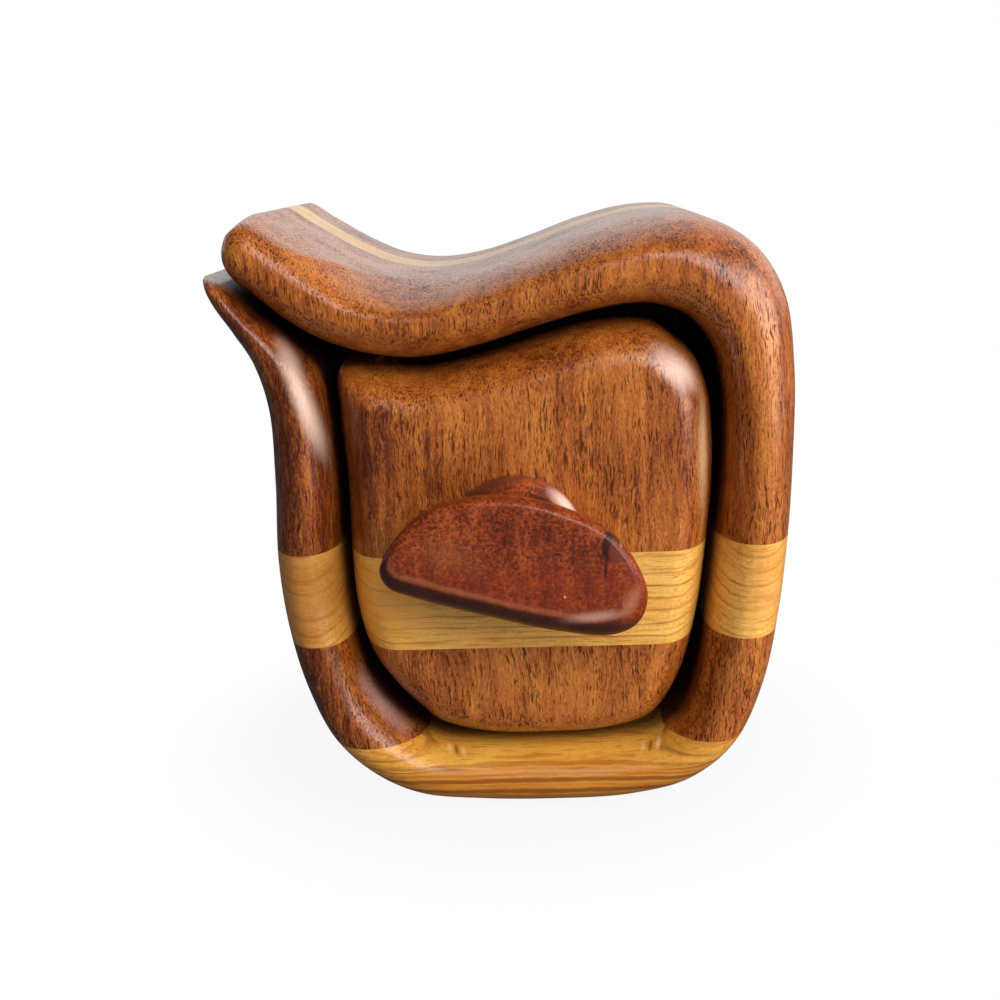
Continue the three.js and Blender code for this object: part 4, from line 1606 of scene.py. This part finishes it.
def placed(
    right: Sequence[float], up: Sequence[float], back: Sequence[float], place: Sequence[float]
) -> Matrix:
    """The matrix of a thing that looks against its back direction.

    Args:
        right: Its right.
        up: Its up.
        back: Its back.
        place: Its place.

    Returns:
        The matrix.
    """
    made = np.eye(4)
    made[:3, 0], made[:3, 1], made[:3, 2], made[:3, 3] = right, up, back, place
    return Matrix(made.tolist())


@dataclass(frozen=True)
class Studio:
    """A pale floor, soft lamps, and the camera at the photograph's angle."""

    lens: float = 49.86
    eye: tuple[float, float, float] = (0.00687, -0.30812, 0.13216)
    pitch: float = 13.871
    yaw: float = 1.894
    roll: float = -1.98
    floor_reach: float = 1.6
    world: float = 0.2
    backdrop: float = 1.0
    # How bright the world is for gloss beside the backdrop, how much of the floor is dim for it and
    # how dim, and the floor's grey.
    beside: float = 0.04
    floor_gloss: float = 0.9
    floor_dim: float = 0.06
    floor_grey: float = 0.5
    # Between which distances from the middle the floor's white grows, and from what share to all.
    floor_white: tuple[float, ...] = (0.045, 0.09, 0.92, 1.0)
    sensor: float = 36.0
    lamps: tuple[Lamp, ...] = (
        Lamp("right_softbox", (0.55, -0.27, 0.28), 0.72, 0.50, 5.2),
        Lamp("front_softbox", (0.30, -0.70, 0.62), 0.60, 0.60, 4.0),
    )

    def camera(self) -> None:
        """Adds the camera, turned by its yaw, then its pitch, then its roll."""
        yaw, pitch, roll = (math.radians(a) for a in (self.yaw, self.pitch, self.roll))
        turned, leaned = (Matrix.Rotation(angle, 3, "Z") for angle in (-yaw, roll))
        tipped = Matrix.Rotation(pitch, 3, "X")
        level = Matrix(((1, 0, 0), (0, 0, -1), (0, 1, 0)))
        right, down, ahead = leaned @ tipped @ level @ turned
        data = bpy.data.cameras.new("camera")
        data.lens, data.sensor_width = self.lens, self.sensor
        camera = added("camera", data)
        camera.matrix_world = placed(right, -down, -ahead, self.eye)
        bpy.context.scene.camera = camera

    def floor(self) -> None:
        """Adds the floor, a level square, and its pale finish."""
        mesh = bpy.data.meshes.new("floor")
        far = self.floor_reach
        corners = [(-far, -far, 0), (far, -far, 0), (far, far, 0), (-far, far, 0)]
        mesh.from_pydata(corners, [], [(0, 1, 2, 3)])
        floor = added("floor", mesh)
        material = bpy.data.materials.new("pale_floor")
        material.use_nodes = True
        nodes = Nodes(material.node_tree)
        grey = (*[self.floor_grey] * 3, 1.0)
        matt = {"Base Color": grey, "Roughness": 0.8, "Specular IOR Level": 0.1}
        lit = nodes.node("ShaderNodeBsdfPrincipled", {}, matt)
        white, dim = (
            nodes.node("ShaderNodeEmission", {}, {"Color": WHITE, "Strength": strength})
            for strength in (1.0, self.floor_dim)
        )
        seen, gloss = nodes.rays()
        lit = nodes.node("ShaderNodeMixShader", {}, {0: gloss * self.floor_gloss, 1: lit, 2: dim})
        share = nodes.ease(nodes.length(nodes.place()), *self.floor_white) * seen
        nodes.end(nodes.node("ShaderNodeMixShader", {}, {0: share, 1: lit, 2: white}))
        mesh.materials.append(material)

    def sky(self) -> None:
        """Sets the world: an even light, which the camera sees as white and gloss as a backdrop."""
        world = bpy.data.worlds.new("studio")
        world.use_nodes = True
        bpy.context.scene.world = world
        nodes = Nodes(world.node_tree)
        seen, gloss = nodes.rays()
        ahead = nodes.node("ShaderNodeTexCoord", {}, {}, "Generated")
        behind = nodes.ease(nodes.part(ahead, "Y"), 0.0, 0.6)
        behind = behind * nodes.ease(nodes.part(ahead, "Z"), -0.02, 0.16)
        backdrop = self.beside + behind * self.backdrop
        strength = self.world + seen * (1.0 - self.world) + gloss * (backdrop - self.world)
        sockets = {"Color": WHITE, "Strength": strength}
        nodes.end(nodes.node("ShaderNodeBackground", {}, sockets), "ShaderNodeOutputWorld")

    def build(self) -> None:
        """Adds everything, and sets how colours are shown."""
        self.camera()
        self.floor()
        self.sky()
        for lamp in self.lamps:
            lamp.build()
        bpy.context.scene.view_settings.view_transform = "Standard"


def main() -> None:
    logging.basicConfig(level=logging.INFO, format="%(message)s")
    Studio().build()
    case = Case()
    drawer = Drawer(case)
    for assembly in (case, drawer, Pull(drawer)):
        pieces = assembly.build()
        log.info("%s: %d pieces", type(assembly).__name__, len(pieces))


if __name__ == "__main__":
    main()
